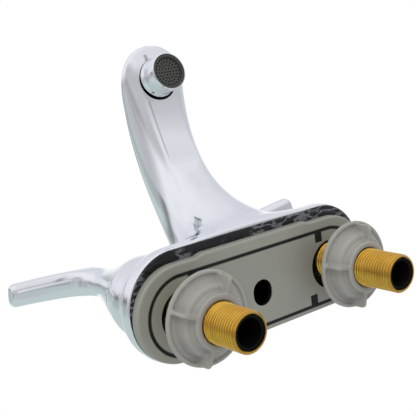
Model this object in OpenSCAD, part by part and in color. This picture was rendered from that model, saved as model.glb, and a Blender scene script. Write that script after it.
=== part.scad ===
// Two-lever centreset faucet for a sink deck, with a cast body and a fixed spout.
// The deck's upper face is z = 0, the two inlet shanks stand on the X axis and the
// spout reaches forward over the sink, along -Y. The hot side is at -X.

/* [Inlet shanks] */
// Distance between the centres of the two inlet shanks
shank_spacing = 101.6; // [99:0.1:106]
// Outside diameter of the shank's mounting thread
shank_d = 20.9; // [20.6:0.1:21.2]
// Inside diameter of the brass shank
shank_bore_d = 17.4; // [16.6:0.1:17.8]
// Length of the shanks below the deck
shank_drop = 53; // [48:1:64]
// Length of the free thread at the end, where the supply hose screws on
inlet_thread_l = 18; // [14:0.5:18]
// Wall of the plastic liner inside a shank
liner_wall = 1.8; // [1.4:0.1:2.4]

/* [Body] */
// Half of the body's depth, which is the radius of its round ends
body_r = 30; // [29.5:0.1:31]
// How far the body's middle line sits in front of the shanks
body_forward = 1.2; // [0.8:0.1:2]
// Height of the body's lower edge above the deck
lip_h = 6; // [5.6:0.1:6.4]
// Height of the upright skirt above that edge
skirt_h = 5; // [4:0.5:6]
// Height of the body's rounded back, between spout and risers
crown_h = 26; // [25:0.5:27.5]
// Thickness of the cast wall
body_wall = 3; // [2.6:0.1:3.2]
// Radius of a riser, at half its height
riser_r = 24; // [23.5:0.1:25]
// Height of the riser's shoulder above the deck
riser_h = 47; // [46:0.5:50]

/* [Spout] */
// Distance from the shanks to the outlet's centre
spout_reach = 112; // [105:1:122]
// Height of the outlet's mouth above the deck
outlet_h = 76.5; // [74:0.5:82]
// Forward lean of the outlet, from the vertical
outlet_tilt = 15; // [12:1:18]
// Half width of the spout's neck, before it widens to its tip
neck_half_w = 14; // [13:0.5:16]
// Half width of the spout's tip
tip_half_w = 20.5; // [19:0.5:21.5]
// Thickness of the spout's tip
tip_t = 19.7; // [19:0.1:21]
// Length of the rounded nose beyond the outlet
nose_l = 23.9; // [22:0.1:26]
// Outside diameter of the copper tube inside the spout
tube_d = 10; // [9:0.5:11]

/* [Aerator] */
// Outside diameter of the aerator
aerator_d = 21.7; // [21:0.1:22.2]
// Length of the aerator below the spout
aerator_l = 14.6; // [12:0.2:17]
// Diameter of the recess round the aerator
recess_d = 25.4; // [24.6:0.2:26.4]

/* [Base plate] */
// How far the plate's edge is set in from the body's edge, front and back
plate_inset = 4.2; // [3.8:0.1:4.6]
// How much further apart the plate's round ends are than the shanks
plate_stretch = 4; // [3:0.2:5]
// How far the plate's middle line sits behind the shanks
plate_back = 1.2; // [0.8:0.1:1.4]
// Thickness of the plate's flat panel
panel_t = 3; // [2.4:0.1:3.4]
// How far the deck seal is set in from the plate's edge
seal_inset = 4.9; // [4.5:0.1:5.4]
// Width of the deck seal
seal_w = 1.4; // [1:0.1:1.8]
// Radius of the clearance holes for the shanks
shank_hole_r = 14; // [13.6:0.1:15]

/* [Levers] */
// Length of a lever, from the valve's axis to its tip
lever_l = 54; // [48:1:66]
// Width of a lever at its tip
lever_w = 13.4; // [12:0.2:15]
// Thickness of a lever at its tip
lever_t = 10; // [9:0.2:11]
// Height of a lever's arm above the deck
lever_h = 95.8; // [94:0.2:98]
// Radius of the lever's skirt, at its lower edge
skirt_r = 18.2; // [18:0.1:19]
// Angle at which the hot lever is parked, forward of the straight line
hot_park = 6; // [0:1:30]
// Angle at which the cold lever is parked, forward of the straight line
cold_park = 12; // [0:1:30]

/* [Mounting nuts] */
// Diameter of the nut's flange
nut_flange_d = 48.1; // [44:0.5:50]
// Height of the nut
nut_h = 11.8; // [11:0.2:13]
// Reach of the nut's wings from the shank's axis
wing_reach = 22.7; // [21:0.1:23.5]
// Thickness of a wing
wing_t = 1.9; // [1.4:0.1:2.6]
// Gap between deck face and the hot side's nut
hot_grip = 19; // [17:0.5:20]
// Gap between deck face and the cold side's nut
cold_grip = 17.7; // [17:0.1:20]

/* [Valve cartridges] */
// Outside radius of a valve tower
tower_r = 14.5; // [14.2:0.1:14.8]
// Radius of the bore that takes the cartridge
cartridge_r = 11.2; // [11:0.1:11.5]
// Height of the floor that the valve seat lies on
seat_h = 22; // [21.8:0.1:22.6]
// Radius of the ceramic discs
disc_r = 9.4; // [9:0.1:9.6]
// Thickness of a ceramic disc
disc_t = 3; // [2.6:0.1:3.2]
// Radius of the stem
stem_r = 5; // [4.6:0.1:5.4]
// Radius of the water ports
port_r = 2.6; // [2.2:0.1:2.9]

/* [Hidden] */
$fn = 96;

run_gap = 0.05;         // radial gap of a turning or sliding fit
seat_gap = 0.3;          // gap between pieces that only pass each other
fit_gap = 0.02;          // radial gap of a fit that stays put
half_span = shank_spacing / 2;

// ---- shared outlines ----------------------------------------------------------

// Points on the quarter of an ellipse, from the side (r, 0) to the top (0, h)
function quarter(r, h, count) =
    [for (i = [0:count]) [r * cos(90 * i / count), h * sin(90 * i / count)]];

// A solid with straight sides and round ends, about the X axis
module stadium(span, r, h) {
    for (side = [-1, 1]) translate([side * span / 2, 0, 0]) cylinder(r = r, h = h);
    translate([-span / 2, -r, 0]) cube([span, 2 * r, h]);
}

// The same plan, with a half outline [distance, height] turned round the ends
module turned_stadium(outline, span) {
    for (side = [-1, 1])
        translate([side * span / 2, 0, 0]) rotate_extrude() polygon(outline);
    rotate([90, 0, 90]) linear_extrude(span, center = true) {
        polygon(outline);
        mirror([1, 0]) polygon(outline);
    }
}

// The faces of so many strips between m rings of n points each, where the strip after
// the last ring goes back to the first
function strips(count, n, m) =
    [for (i = [0:count - 1], j = [0:n - 1])
        let (a = i * n, b = (i + 1) % m * n, k = (j + 1) % n)
        each [[a + k, a + j, b + k], [b + k, a + j, b + j]]];

// A closed skin through rings of points that all have the same count
module loft(rings) {
    n = len(rings[0]);
    m = len(rings);
    caps = [[for (j = [0:n - 1]) j], [for (j = [n - 1:-1:0]) (m - 1) * n + j]];
    polyhedron([for (ring = rings) each ring], concat(strips(m - 1, n, m), caps),
               convexity = 6);
}

// A skin that goes out along its outer rings and back along its inner ones
module pipe_loft(rings) {
    n = len(rings[0]);
    m = len(rings);
    polyhedron([for (ring = rings) each ring], strips(m, n, m), convexity = 6);
}

// A rounded section: half widths a and b, squarer as the power grows
function rounded_section(a, b, power, count) =
    [for (i = [0:count - 1])
        let (c = cos(360 * i / count), s = sin(360 * i / count))
        [a * sign(c) * pow(abs(c), 2 / power), b * sign(s) * pow(abs(s), 2 / power)]];

function bezier(p, t) =
    pow(1 - t, 3) * p[0] + 3 * pow(1 - t, 2) * t * p[1]
    + 3 * (1 - t) * t * t * p[2] + pow(t, 3) * p[3];

module at_side(side) {
    translate([side * half_span, 0, 0]) children();
}

// ---- the spout's form ---------------------------------------------------------

tip_lean = 41;           // lean of the last full section, from the vertical
spout_power = 2.4;       // squareness of the spout's section
root_flare = 3.3;        // how quickly the wide root narrows to the neck
root_half_w = half_span + 13.8;
root_pinch = 4.6;        // draws the neck in behind the root
nose_lift = 2.6;         // how far the nose bends up over its length
spout_steps = 28;
nose_steps = 9;
ring_points = 36;

root_rise = 32;          // length of the upright start of the curves above and below
root_lean = 5.4;         // forward lean of that start, below the spout
back_lean = 11.3;        // forward lean of that start, above the spout
under_pull = [52.9, -10.2];  // the end of the lower curve, towards its tip
over_pull = [69.8, 16.3];    // the end of the upper curve, towards its tip
foot_inset = [0.3, 3.4];     // the spout's foot inside the body's front and back
tip_offset = [-1.6, -1.5];   // last full section, from the outlet's mouth
body_front = -body_r - body_forward;
body_rear = body_r - body_forward;

tip_under = [-spout_reach, outlet_h] + tip_offset;
tip_over = tip_under + tip_t * [sin(tip_lean), cos(tip_lean)];
under_curve = [[body_front + foot_inset[0], lip_h],
               [body_front - root_lean, lip_h + root_rise],
               tip_under + under_pull, tip_under];
over_curve = [[body_rear - foot_inset[1], lip_h],
              [body_rear - back_lean, lip_h + root_rise],
              tip_over + over_pull, tip_over];

function spout_half_w(t) =
    neck_half_w + (tip_half_w - neck_half_w) * t * t
    + (root_half_w - neck_half_w) * pow(1 - t, root_flare)
    - root_pinch * pow(1 - t, 2) * t;

// One ring of the spout, from the middle of its section, its half thickness as a
// vector in the YZ plane, and its half width
function spout_ring(centre, half, half_w) =
    [for (p = rounded_section(half_w, 1, spout_power, ring_points))
        [p[0], centre[0] + half[0] * p[1], centre[1] + half[1] * p[1]]];

function spout_station(t, wall) =
    let (u = bezier(under_curve, t), o = bezier(over_curve, t), half = (o - u) / 2)
    spout_ring((o + u) / 2, half * (1 - wall / norm(half)), spout_half_w(t) - wall);

// The nose goes on from the last full section: its course and its taper start in the
// directions in which the curves above and below end, and its width goes on growing
// as the spout's does there
function cross_2d(a, b) = a[0] * b[1] - a[1] * b[0];
function unit(v) = v / norm(v);
tip_half = (tip_over - tip_under) / 2;
over_end = unit(over_curve[3] - over_curve[2]);
under_end = unit(under_curve[3] - under_curve[2]);
end_ratio = cross_2d(over_end, tip_half) / cross_2d(under_end, tip_half);
nose_course = over_end + end_ratio * under_end;
nose_taper = (over_end - end_ratio * under_end) * tip_half
             / (tip_half * tip_half) / norm(nose_course);
tip_speed = 1.5 * norm(over_curve[3] - over_curve[2] + under_curve[3] - under_curve[2]);
nose_spread = 2 * (tip_half_w - neck_half_w) / tip_half_w / tip_speed;

function nose_station(angle) =
    let (share = sin(angle),
         centre = (tip_over + tip_under) / 2 + nose_l * share * unit(nose_course)
                  + [0, nose_lift * share * share],
         thick = sqrt(1 - share) * (1 + (0.5 + nose_taper * nose_l) * share),
         wide = sqrt(1 - share) * (1 + (0.5 + nose_spread * nose_l) * share))
    spout_ring(centre, tip_half * thick, tip_half_w * wide);

module spout_form() {
    loft(concat(
        [for (i = [0:spout_steps]) spout_station(i / spout_steps, 0)],
        [for (i = [1:nose_steps]) nose_station(87 * i / nose_steps)]));
}

// The hollow inside the spout stops short of the solid tip
hollow_end = 0.8;
hollow_steps = 14;
module spout_hollow() {
    loft([for (i = [0:hollow_steps])
        spout_station(hollow_end * i / hollow_steps, body_wall)]);
}

// Places its children at the outlet's mouth, with the water leaving along -Z
module at_outlet() {
    translate([0, -spout_reach, outlet_h]) rotate([-outlet_tilt, 0, 0]) children();
}

// ---- the water's way ----------------------------------------------------------

pipe_h = 16.5;           // height of the cross pipe's axis
pipe_r = 6;
pipe_bore_r = 3.6;
boss_r = 8;
boss_bore_r = 4;
boss_h = crown_h + 1;
port_offset = 5.5;       // distance of the ports from the valve's axis
tower_foot = 4;          // underside of the towers
shank_top = 10.5;
inlet_r = 6.5;
tower_flange_r = 17.6;
tower_flange_t = 2.8;
tower_top = riser_h + 2.6;

socket_l = 5;            // length of the tube inside the boss
tube_foot_h = boss_h - socket_l;
tube_rise = 22;          // length of the upright start of the tube's curve
tube_pull = [62, -6];    // the end of the tube's curve, towards the outlet
tube_stop = [13, 4.2];   // the tube's end, from the outlet's mouth
tube_end = [-spout_reach, outlet_h] + tube_stop;
tube_curve = [[0, boss_h + 1], [0, boss_h + tube_rise], tube_end + tube_pull, tube_end];
tube_steps = 20;
tube_wall = 0.9;
tube_sides = 14;
tube_exit = let (d = tube_curve[3] - tube_curve[2]) [0, d[0], d[1]] / norm(d);

// A round tube that stands upright in the boss and then follows the curve, each
// ring square to the curve
function tube_ring(t, r) =
    let (p = bezier(tube_curve, t),
         d = bezier(tube_curve, min(1, t + 0.01)) - bezier(tube_curve, max(0, t - 0.01)),
         n = [-d[1], d[0]] / norm(d))
    [for (i = [0:tube_sides - 1])
        let (c = r * cos(360 * i / tube_sides), s = r * sin(360 * i / tube_sides))
        [s, p[0] + n[0] * c, p[1] + n[1] * c]];

function tube_foot(r, h) = [for (p = tube_ring(0, r)) [p[0], p[1], h]];

function tube_rings(r) = concat([tube_foot(r, tube_foot_h)],
    [for (i = [0:tube_steps]) tube_ring(i / tube_steps, r)]);

// ---- body ---------------------------------------------------------------------

riser_hole_r = tower_r + seat_gap;

// Half outline of the body's base: upright skirt, then a crown
function base_outline(r, foot, h) = concat([[0, foot], [r, foot]],
    [for (p = quarter(r, h - lip_h - skirt_h, 10)) p + [0, lip_h + skirt_h]]);

// Half outline of a riser: it spreads at the foot and rounds over at the shoulder
riser_foot_inset = 1.4;  // the riser's foot inside the body's round end
riser_foot_r = body_r - riser_foot_inset;
riser_flare = 9;         // height over which the foot narrows
riser_draft = 0.6;       // how much the riser narrows on from there to its shoulder
shoulder_w = 9;
shoulder_h = 15;
riser_outline = concat(
    [[0, lip_h], [riser_foot_r, lip_h], [riser_foot_r, lip_h + skirt_h]],
    [for (a = [15:15:90])
        [riser_foot_r - (riser_foot_r - riser_r - riser_draft) * sin(a),
         lip_h + skirt_h + riser_flare * (1 - cos(a))]],
    [for (a = [0:12:84])
        [riser_r - shoulder_w * (1 - cos(a)), riser_h - shoulder_h * (1 - sin(a))]],
    [[riser_r - shoulder_w, riser_h], [0, riser_h]]);

// The riser's hollow narrows to a flat ceiling that the valve tower's flange meets
flange_room = tower_flange_r + seat_gap;
riser_cavity = [
    [0, lip_h - 1], [riser_r - body_wall, lip_h - 1],
    [riser_r - body_wall, riser_h - body_wall - 2 * tower_flange_t],
    [flange_room, riser_h - body_wall - tower_flange_t],
    [flange_room, riser_h - body_wall], [0, riser_h - body_wall]];

module body_shell() {
    color("gainsboro") difference() {
        union() {
            translate([0, -body_forward, 0])
                turned_stadium(base_outline(body_r, lip_h, crown_h), shank_spacing);
            for (side = [-1, 1]) at_side(side) rotate_extrude() polygon(riser_outline);
            spout_form();
        }
        translate([0, -body_forward, 0])
            turned_stadium(base_outline(body_r - body_wall, lip_h - 1, crown_h - body_wall),
                           shank_spacing);
        for (side = [-1, 1]) at_side(side) {
            rotate_extrude() polygon(riser_cavity);
            cylinder(r = riser_hole_r, h = riser_h + 1);
        }
        spout_hollow();
        loft(tube_rings(tube_d / 2));
        at_outlet() {
            translate([0, 0, -recess_d]) cylinder(d = recess_d, h = recess_d + recess_depth);
            cylinder(r = outlet_thread_r + run_gap, h = outlet_thread_h);
            cylinder(r = outlet_water_r, h = outlet_water_h);
        }
        translate([0, tube_end[0], tube_end[1]]) rotate([acos(tube_exit[2]), 0, 0])
            cylinder(d = tube_d - 2 * tube_wall, h = outlet_link);
    }
}

// ---- base plate, gasket and seal ----------------------------------------------

plate_r = body_r - plate_inset;
plate_span = shank_spacing + plate_stretch;
plate_edge = 1.4;        // rounding of the plate's lower edge
plate_bulge = 1.2;       // extra depth of the plate's front, along its middle
bulge_end = 17.4;        // the bulge's straight front ends this far short of the shanks
bulge_corner_r = 12;     // radius at which the bulge's ends run back into the plate
bulge_w = shank_spacing - 2 * bulge_end;
bulge_back = plate_back - plate_r - plate_bulge + bulge_corner_r;
spigot_h = 2.5;          // height of the tongue that fits inside the body
spigot_gap = 0.2;
plate_wall = 2.4;
gasket_t = 1.4;
gasket_inset = 0.5;      // distance of the gasket's edge inside the body's edge
seal_depth = 1.6;
seal_recess = 0.15;
seal_back = 2.5;         // how far the seal's middle line sits behind the shanks
seal_r = plate_r - seal_inset;
drain_r = 6.4;           // half width of the drain opening
drain_l = 14.5;
drain_back = 5.2;
tab_w = 5.2;
tab_l = 6.4;
front_tab_x = half_span - 7.2;
back_tab_x = half_span - 14.6;

// Half outline of a slab with a rounded lower edge
function slab_outline(r, edge, h) = concat([[0, 0]],
    [for (a = [0:15:90]) [r - edge * (1 - sin(a)), edge * (1 - cos(a))]],
    [[r, h], [0, h]]);

module plate_plan(h) {
    translate([0, plate_back, 0]) stadium(plate_span, plate_r, h);
    translate([0, bulge_back, 0]) stadium(bulge_w, bulge_corner_r, h);
}

module plate_slab(h) {
    translate([0, plate_back, 0])
        turned_stadium(slab_outline(plate_r, plate_edge, h), plate_span);
    translate([0, bulge_back, 0])
        turned_stadium(slab_outline(bulge_corner_r, plate_edge, h), bulge_w);
}

module seal_path(grow, z, h) {
    translate([0, seal_back, z]) difference() {
        stadium(shank_spacing, seal_r + seal_w / 2 + grow, h);
        translate([0, 0, -1]) stadium(shank_spacing, seal_r - seal_w / 2 - grow, h + 2);
    }
}

// The four tabs that hold the seal, each running inwards from it
module seal_tabs(grow, z, h) {
    for (side = [-1, 1]) {
        translate([side * front_tab_x - tab_w / 2 - grow, seal_back - seal_r, z])
            cube([tab_w + 2 * grow, tab_l + grow, h]);
        translate([side * back_tab_x - tab_w / 2 - grow, seal_back + seal_r - tab_l - grow, z])
            cube([tab_w + 2 * grow, tab_l + grow, h]);
    }
}

module drain_opening(h) {
    for (end = [-1, 1])
        translate([0, drain_back + end * (drain_l / 2 - drain_r), -1])
            cylinder(r = drain_r, h = h);
    translate([-drain_r, drain_back - drain_l / 2 + drain_r, -1])
        cube([2 * drain_r, drain_l - 2 * drain_r, h]);
}

module base_plate() {
    color("#8c8d85") difference() {
        union() {
            plate_slab(lip_h);
            translate([0, -body_forward, lip_h])
                stadium(shank_spacing, body_r - body_wall - spigot_gap, spigot_h);
        }
        intersection() {
            translate([0, plate_back, panel_t])
                stadium(plate_span, plate_r - plate_wall, lip_h + spigot_h);
            translate([0, -body_forward, panel_t])
                stadium(shank_spacing, body_r - body_wall - plate_wall, lip_h + spigot_h);
        }
        for (side = [-1, 1])
            translate([side * half_span, seal_back, -1])
                cylinder(r = shank_hole_r, h = panel_t + 2);
        drain_opening(panel_t + 2);
        seal_path(0, -1, seal_depth + 1);
        seal_tabs(0, -1, seal_depth + 1);
    }
}

module rim_gasket() {
    color("#15171a") translate([0, 0, lip_h - gasket_t]) difference() {
        translate([0, -body_forward, 0])
            stadium(shank_spacing, body_r - gasket_inset, gasket_t);
        translate([0, 0, -1]) plate_plan(gasket_t + 2);
    }
}

module deck_seal() {
    color("#1c1d1a") {
        seal_path(0, seal_recess, seal_depth - seal_recess);
        seal_tabs(0, seal_recess, seal_depth - seal_recess);
    }
}

// ---- manifold, tube and shanks ------------------------------------------------

module manifold() {
    color("#c79a45") difference() {
        union() {
            for (side = [-1, 1]) at_side(side) {
                translate([0, 0, tower_foot]) cylinder(r = tower_r, h = tower_top - tower_foot);
                translate([0, 0, riser_h - body_wall - tower_flange_t])
                    cylinder(r = tower_flange_r, h = tower_flange_t);
            }
            translate([-half_span, 0, pipe_h]) rotate([0, 90, 0])
                cylinder(r = pipe_r, h = shank_spacing);
            translate([0, 0, pipe_h]) cylinder(r = boss_r, h = boss_h - pipe_h);
        }
        for (side = [-1, 1]) at_side(side) {
            translate([0, 0, tower_foot - 1])
                cylinder(d = shank_d, h = shank_top - tower_foot + 1);
            cylinder(r = inlet_r, h = shank_top + 1);
            translate([0, 0, seat_h]) cylinder(r = cartridge_r, h = tower_top);
            translate([side * port_offset, 0, shank_top - 1]) cylinder(r = port_r, h = seat_h);
            translate([-side * port_offset, 0, pipe_h]) cylinder(r = port_r, h = seat_h);
        }
        translate([-half_span + port_offset, 0, pipe_h]) rotate([0, 90, 0])
            cylinder(r = pipe_bore_r, h = shank_spacing - 2 * port_offset);
        translate([0, 0, pipe_h]) cylinder(r = boss_bore_r, h = boss_h);
        translate([0, 0, tube_foot_h]) cylinder(d = tube_d, h = boss_h);
    }
}

module spout_tube() {
    outside = tube_rings(tube_d / 2);
    inside = tube_rings(tube_d / 2 - tube_wall);
    color("#b87333")
        pipe_loft(concat(outside, [for (i = [len(inside) - 1:-1:0]) inside[i]]));
}

shank_chamfer = 0.9;
inlet_step = 0.22;       // the supply thread is cut this much below the mounting thread

module shank(side) {
    r = shank_d / 2;
    end = -shank_drop;
    color("#d7aa4b") at_side(side) difference() {
        rotate_extrude() polygon([
            [0, end], [r - inlet_step - shank_chamfer, end],
            [r - inlet_step, end + shank_chamfer], [r - inlet_step, end + inlet_thread_l],
            [r, end + inlet_thread_l], [r, shank_top], [0, shank_top]]);
        translate([0, 0, end - 1]) cylinder(d = shank_bore_d, h = shank_drop + shank_top + 2);
    }
}

liner_setback = 1;
module shank_liner(side) {
    length = shank_drop + shank_top - liner_setback;
    color("#17181a") at_side(side) translate([0, 0, liner_setback - shank_drop])
        difference() {
            cylinder(d = shank_bore_d, h = length);
            translate([0, 0, -1]) cylinder(d = shank_bore_d - 2 * liner_wall, h = length + 2);
        }
}

// ---- mounting nuts ------------------------------------------------------------

flange_t = 2;
flange_rim_w = 2;        // width of the raised rim under the flange's edge
flange_edge = 0.7;       // chamfer of that rim
flange_recess = 0.4;     // depth of the ring between rim and cone
collar_r = 14.3;
collar_draft = 0.2;
nut_edge = 0.9;          // chamfers at the nut's lower end
wing_corner = 2.4;
wing_root = 1;           // how deep a wing reaches into the collar
wing_lift = 0.4;         // height of the wings' lower edge above the nut's end
wing_count = 4;
hot_nut_turn = 25;
cold_nut_turn = 12;

// The stepped cone under the flange, from its foot to the collar: [out from the
// collar, up from the flange's underside]
nut_cone = [[5.2, 0.3], [4.2, -1.6], [3.2, -4.2], [2, -5.4], [0.6, -5.9], [0, -6.6]];

// Half outline of the nut, hanging down from its flange
nut_bore_r = shank_d / 2 + run_gap;
nut_outline = let (rim = nut_flange_d / 2) concat(
    [[nut_bore_r, 0], [rim, 0], [rim, flange_edge - flange_t], [rim - flange_edge, -flange_t],
     [rim - flange_rim_w, -flange_t],
     [rim - flange_rim_w - flange_recess, flange_recess - flange_t]],
    [for (p = nut_cone) p + [collar_r, -flange_t]],
    [[collar_r - collar_draft, nut_edge - nut_h], [collar_r - nut_edge, -nut_h],
     [nut_bore_r + nut_edge, -nut_h], [nut_bore_r, nut_edge - nut_h]]);

// One wing: an upright web from the collar to the flange's edge
module wing() {
    root = collar_r - wing_root;
    foot = wing_lift - nut_h;
    rotate([90, 0, 0]) linear_extrude(wing_t, center = true) {
        translate([root, foot + wing_corner])
            square([wing_reach - root, -flange_t / 2 - foot - wing_corner]);
        translate([root, foot])
            square([wing_reach - root - wing_corner, 2 * wing_corner]);
        translate([wing_reach - wing_corner, foot + wing_corner])
            circle(r = wing_corner, $fn = 32);
    }
}

module mounting_nut(side, grip, turn) {
    color("#96958f") at_side(side) translate([0, 0, -grip]) rotate([0, 0, turn]) {
        rotate_extrude() polygon(nut_outline);
        for (i = [0:wing_count - 1]) rotate([0, 0, 360 * i / wing_count]) wing();
    }
}

// ---- valve cartridges ---------------------------------------------------------

seat_seal_t = 1.5;
film = 0.05;             // water film between the two ceramic discs
disc_h = seat_h + seat_seal_t;
moving_h = disc_h + disc_t + film;
carrier_h = moving_h + disc_t;
carrier_t = 3;
chamber_top = carrier_h + carrier_t + 0.5;
hex_h = 4.4;
hex_r = 12.8;
cartridge_top = tower_top + hex_h;
neck_h = 2.4;            // how far the round stem stands out of the cartridge
spline_h = cartridge_top + neck_h;
spline_l = 10;
spline_r = 4.2;
spline_teeth = 20;
spline_groove_r = 0.32;
spline_lead = 1;         // smooth part below the grooves
stem_oring_h = cartridge_top - 10;
body_oring_h = tower_top - 4;
stem_cord_r = 0.85;
body_cord_r = 0.62;
riser_nut_r = 15.8;
socket_r = spline_r + fit_gap;
ring_gap = 0.03;

module riser_nut(side) {
    color("#c8a050") at_side(side) translate([0, 0, riser_h]) difference() {
        cylinder(r = riser_nut_r, h = tower_top - riser_h, $fn = 12);
        translate([0, 0, -1]) cylinder(r = tower_r, h = tower_top);
    }
}

// Two round ports on opposite sides of the valve's axis
module ports(r, z, h) {
    for (end = [-1, 1]) translate([end * port_offset, 0, z]) cylinder(r = r, h = h, $fn = 48);
}

module seat_seal(side) {
    color("#24262a") at_side(side) difference() {
        translate([0, 0, seat_h]) cylinder(r = disc_r, h = seat_seal_t);
        ports(port_r, seat_h - 1, seat_seal_t + 2);
    }
}

module fixed_disc(side) {
    color("#f2f0ea") at_side(side) difference() {
        translate([0, 0, disc_h]) cylinder(r = disc_r, h = disc_t);
        ports(port_r, disc_h - 1, disc_t + 2);
    }
}

module moving_disc(side, park) {
    color("#e9e6dd") at_side(side) rotate([0, 0, side * -park + 90]) difference() {
        translate([0, 0, moving_h]) cylinder(r = disc_r, h = disc_t);
        ports(port_r, moving_h - 1, disc_t + 2);
    }
}

module cartridge_body(side) {
    color("#cfa75a") at_side(side) difference() {
        union() {
            translate([0, 0, disc_h]) cylinder(r = cartridge_r, h = tower_top - disc_h);
            translate([0, 0, tower_top]) cylinder(r = hex_r, h = hex_h, $fn = 6);
        }
        translate([0, 0, disc_h - 1])
            cylinder(r = disc_r + seat_gap, h = chamber_top - disc_h + 1);
        cylinder(r = stem_r + run_gap, h = cartridge_top + 1);
        translate([0, 0, body_oring_h - body_cord_r])
            difference() {
                cylinder(r = cartridge_r + 1, h = 2 * body_cord_r);
                translate([0, 0, -1])
                    cylinder(r = cartridge_r - 2 * body_cord_r, h = 2 * body_cord_r + 2);
            }
    }
}

module body_oring(side) {
    color("#202226") at_side(side) translate([0, 0, body_oring_h])
        rotate_extrude() translate([cartridge_r - body_cord_r, 0])
            circle(r = body_cord_r, $fn = 24);
}

module stem(side, park) {
    color("#d9b25f") at_side(side) rotate([0, 0, side * -park]) difference() {
        union() {
            translate([0, 0, carrier_h]) cylinder(r = disc_r, h = carrier_t);
            translate([0, 0, carrier_h]) cylinder(r = stem_r, h = spline_h - carrier_h);
            translate([0, 0, spline_h]) cylinder(r = spline_r, h = spline_l);
        }
        translate([0, 0, stem_oring_h - stem_cord_r]) difference() {
            cylinder(r = stem_r + 1, h = 2 * stem_cord_r);
            translate([0, 0, -1])
                cylinder(r = stem_r - 2 * stem_cord_r + ring_gap, h = 2 * stem_cord_r + 2);
        }
        translate([0, 0, screw_foot]) cylinder(r = screw_r, h = spline_l + 4);
        for (i = [0:spline_teeth - 1]) rotate([0, 0, 360 * i / spline_teeth])
            translate([spline_r, 0, spline_h + spline_lead])
                cylinder(r = spline_groove_r, h = spline_l, $fn = 16);
    }
}

module stem_oring(side) {
    color("#202226") at_side(side) translate([0, 0, stem_oring_h])
        rotate_extrude() translate([stem_r - stem_cord_r + ring_gap / 2, 0])
            circle(r = stem_cord_r - ring_gap / 2, $fn = 24);
}

// ---- levers -------------------------------------------------------------------

lever_foot = riser_h + 1;
hub_r = 8.6;
hub_wall = 1.5;
neck_l = 23.4;           // length of the hub's round neck, down to the cone
dome_w = 4.4;
dome_h = 5;
arm_root_w = 16;
arm_root_t = 11.4;
arm_power = 3;
arm_crest = 22;          // distance from the axis at which the arm stands highest
arm_bow = 0.0037;        // how fast the arm falls away from its crest
arm_steps = 16;
arm_points = 24;
arm_edge = 2.4;          // rounding of the lever's end
arm_fillet = 7;          // how far the arm's root reaches down the hub
arm_fillet_l = 11;       // how far the fillet under the root reaches along the arm
lever_top = lever_h - arm_bow * arm_crest * arm_crest + arm_root_t / 2;
cap_r = 5;
cap_t = 2;
cap_proud = 0.4;         // how far the cap's edge stands above its seat's rim
cap_side = 1.5;          // height of the cap's upright edge
cap_dome = 0.9;
screw_r = 1.9;
screw_foot = spline_h + spline_lead;
screw_head_r = 3.8;
screw_head_t = 2.6;
screw_depth = 17;        // depth of the screw's seat under the index cap
screw_seat = lever_top - cap_t - screw_depth;
screw_end_gap = 1;       // room between the screw's end and the foot of its hole
slot_w = 1;              // the cross slot in the screw's head
slot_l = 4.8;
slot_depth = 1.4;

// Half outline of the hub: a cone that eases into a round neck with a domed top
waist_h = lever_top - neck_l;
waist_ease = 0.22;       // share of the cone that the easing takes
ease_start = [hub_r + (skirt_r - hub_r) * waist_ease,
              waist_h - (waist_h - lever_foot) * waist_ease];
ease_end = [hub_r, waist_h + (waist_h - lever_foot) * waist_ease];
function ease(t) = (1 - t) * (1 - t) * ease_start
    + 2 * t * (1 - t) * [hub_r, waist_h] + t * t * ease_end;
function cone_r(z) = skirt_r - (skirt_r - hub_r) * (z - lever_foot) / (waist_h - lever_foot);
hub_outline = concat(
    [[0, lever_foot], [skirt_r, lever_foot]],
    [for (i = [0:4]) ease(i / 4)],
    [for (a = [0:15:90])
        [hub_r - dome_w * (1 - cos(a)), lever_top - dome_h * (1 - sin(a))]],
    [[0, lever_top]]);

// The hollow under the skirt makes room for the cartridge's hexagon and the stem
hub_hollow_top = spline_h + seat_gap;
hub_hollow = [
    [0, lever_foot - 1], [skirt_r - hub_wall, lever_foot - 1],
    [skirt_r - hub_wall, lever_foot], [cone_r(hub_hollow_top) - hub_wall, hub_hollow_top],
    [0, hub_hollow_top]];

// One ring of the arm, whose lower half reaches further down near the hub
function arm_ring(x, shrink) =
    let (share = x / lever_l,
         w = arm_root_w + (lever_w - arm_root_w) * share,
         t = arm_root_t + (lever_t - arm_root_t) * share,
         z = lever_h - arm_bow * pow(x - arm_crest, 2),
         near = max(0, 1 - max(0, x - hub_r) / arm_fillet_l),
         deeper = 1 + arm_fillet * pow(near, 2.5) / (t / 2))
    [for (p = rounded_section(w / 2 - shrink, t / 2 - shrink, arm_power, arm_points))
        [x, p[0], z + (p[1] < 0 ? p[1] * deeper : p[1])]];

module arm() {
    reach = lever_l - arm_edge;
    loft(concat(
        [for (i = [0:arm_steps]) arm_ring(2 + (reach - 2) * i / arm_steps, 0)],
        [for (a = [30:30:90]) arm_ring(reach + arm_edge * sin(a), arm_edge * (1 - cos(a)))]));
}

module lever(side, park) {
    turn = side > 0 ? -park : 180 + park;
    color("gainsboro") at_side(side) rotate([0, 0, turn]) difference() {
        union() {
            rotate_extrude() polygon(hub_outline);
            arm();
        }
        rotate_extrude() polygon(hub_hollow);
        cylinder(r = socket_r, h = spline_h + spline_l + seat_gap);
        cylinder(r = screw_r + seat_gap, h = lever_top);
        translate([0, 0, screw_seat]) cylinder(r = screw_head_r + seat_gap, h = lever_top);
        translate([0, 0, lever_top - cap_t + cap_proud])
            cylinder(r = cap_r + fit_gap, h = cap_t);
    }
}

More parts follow.
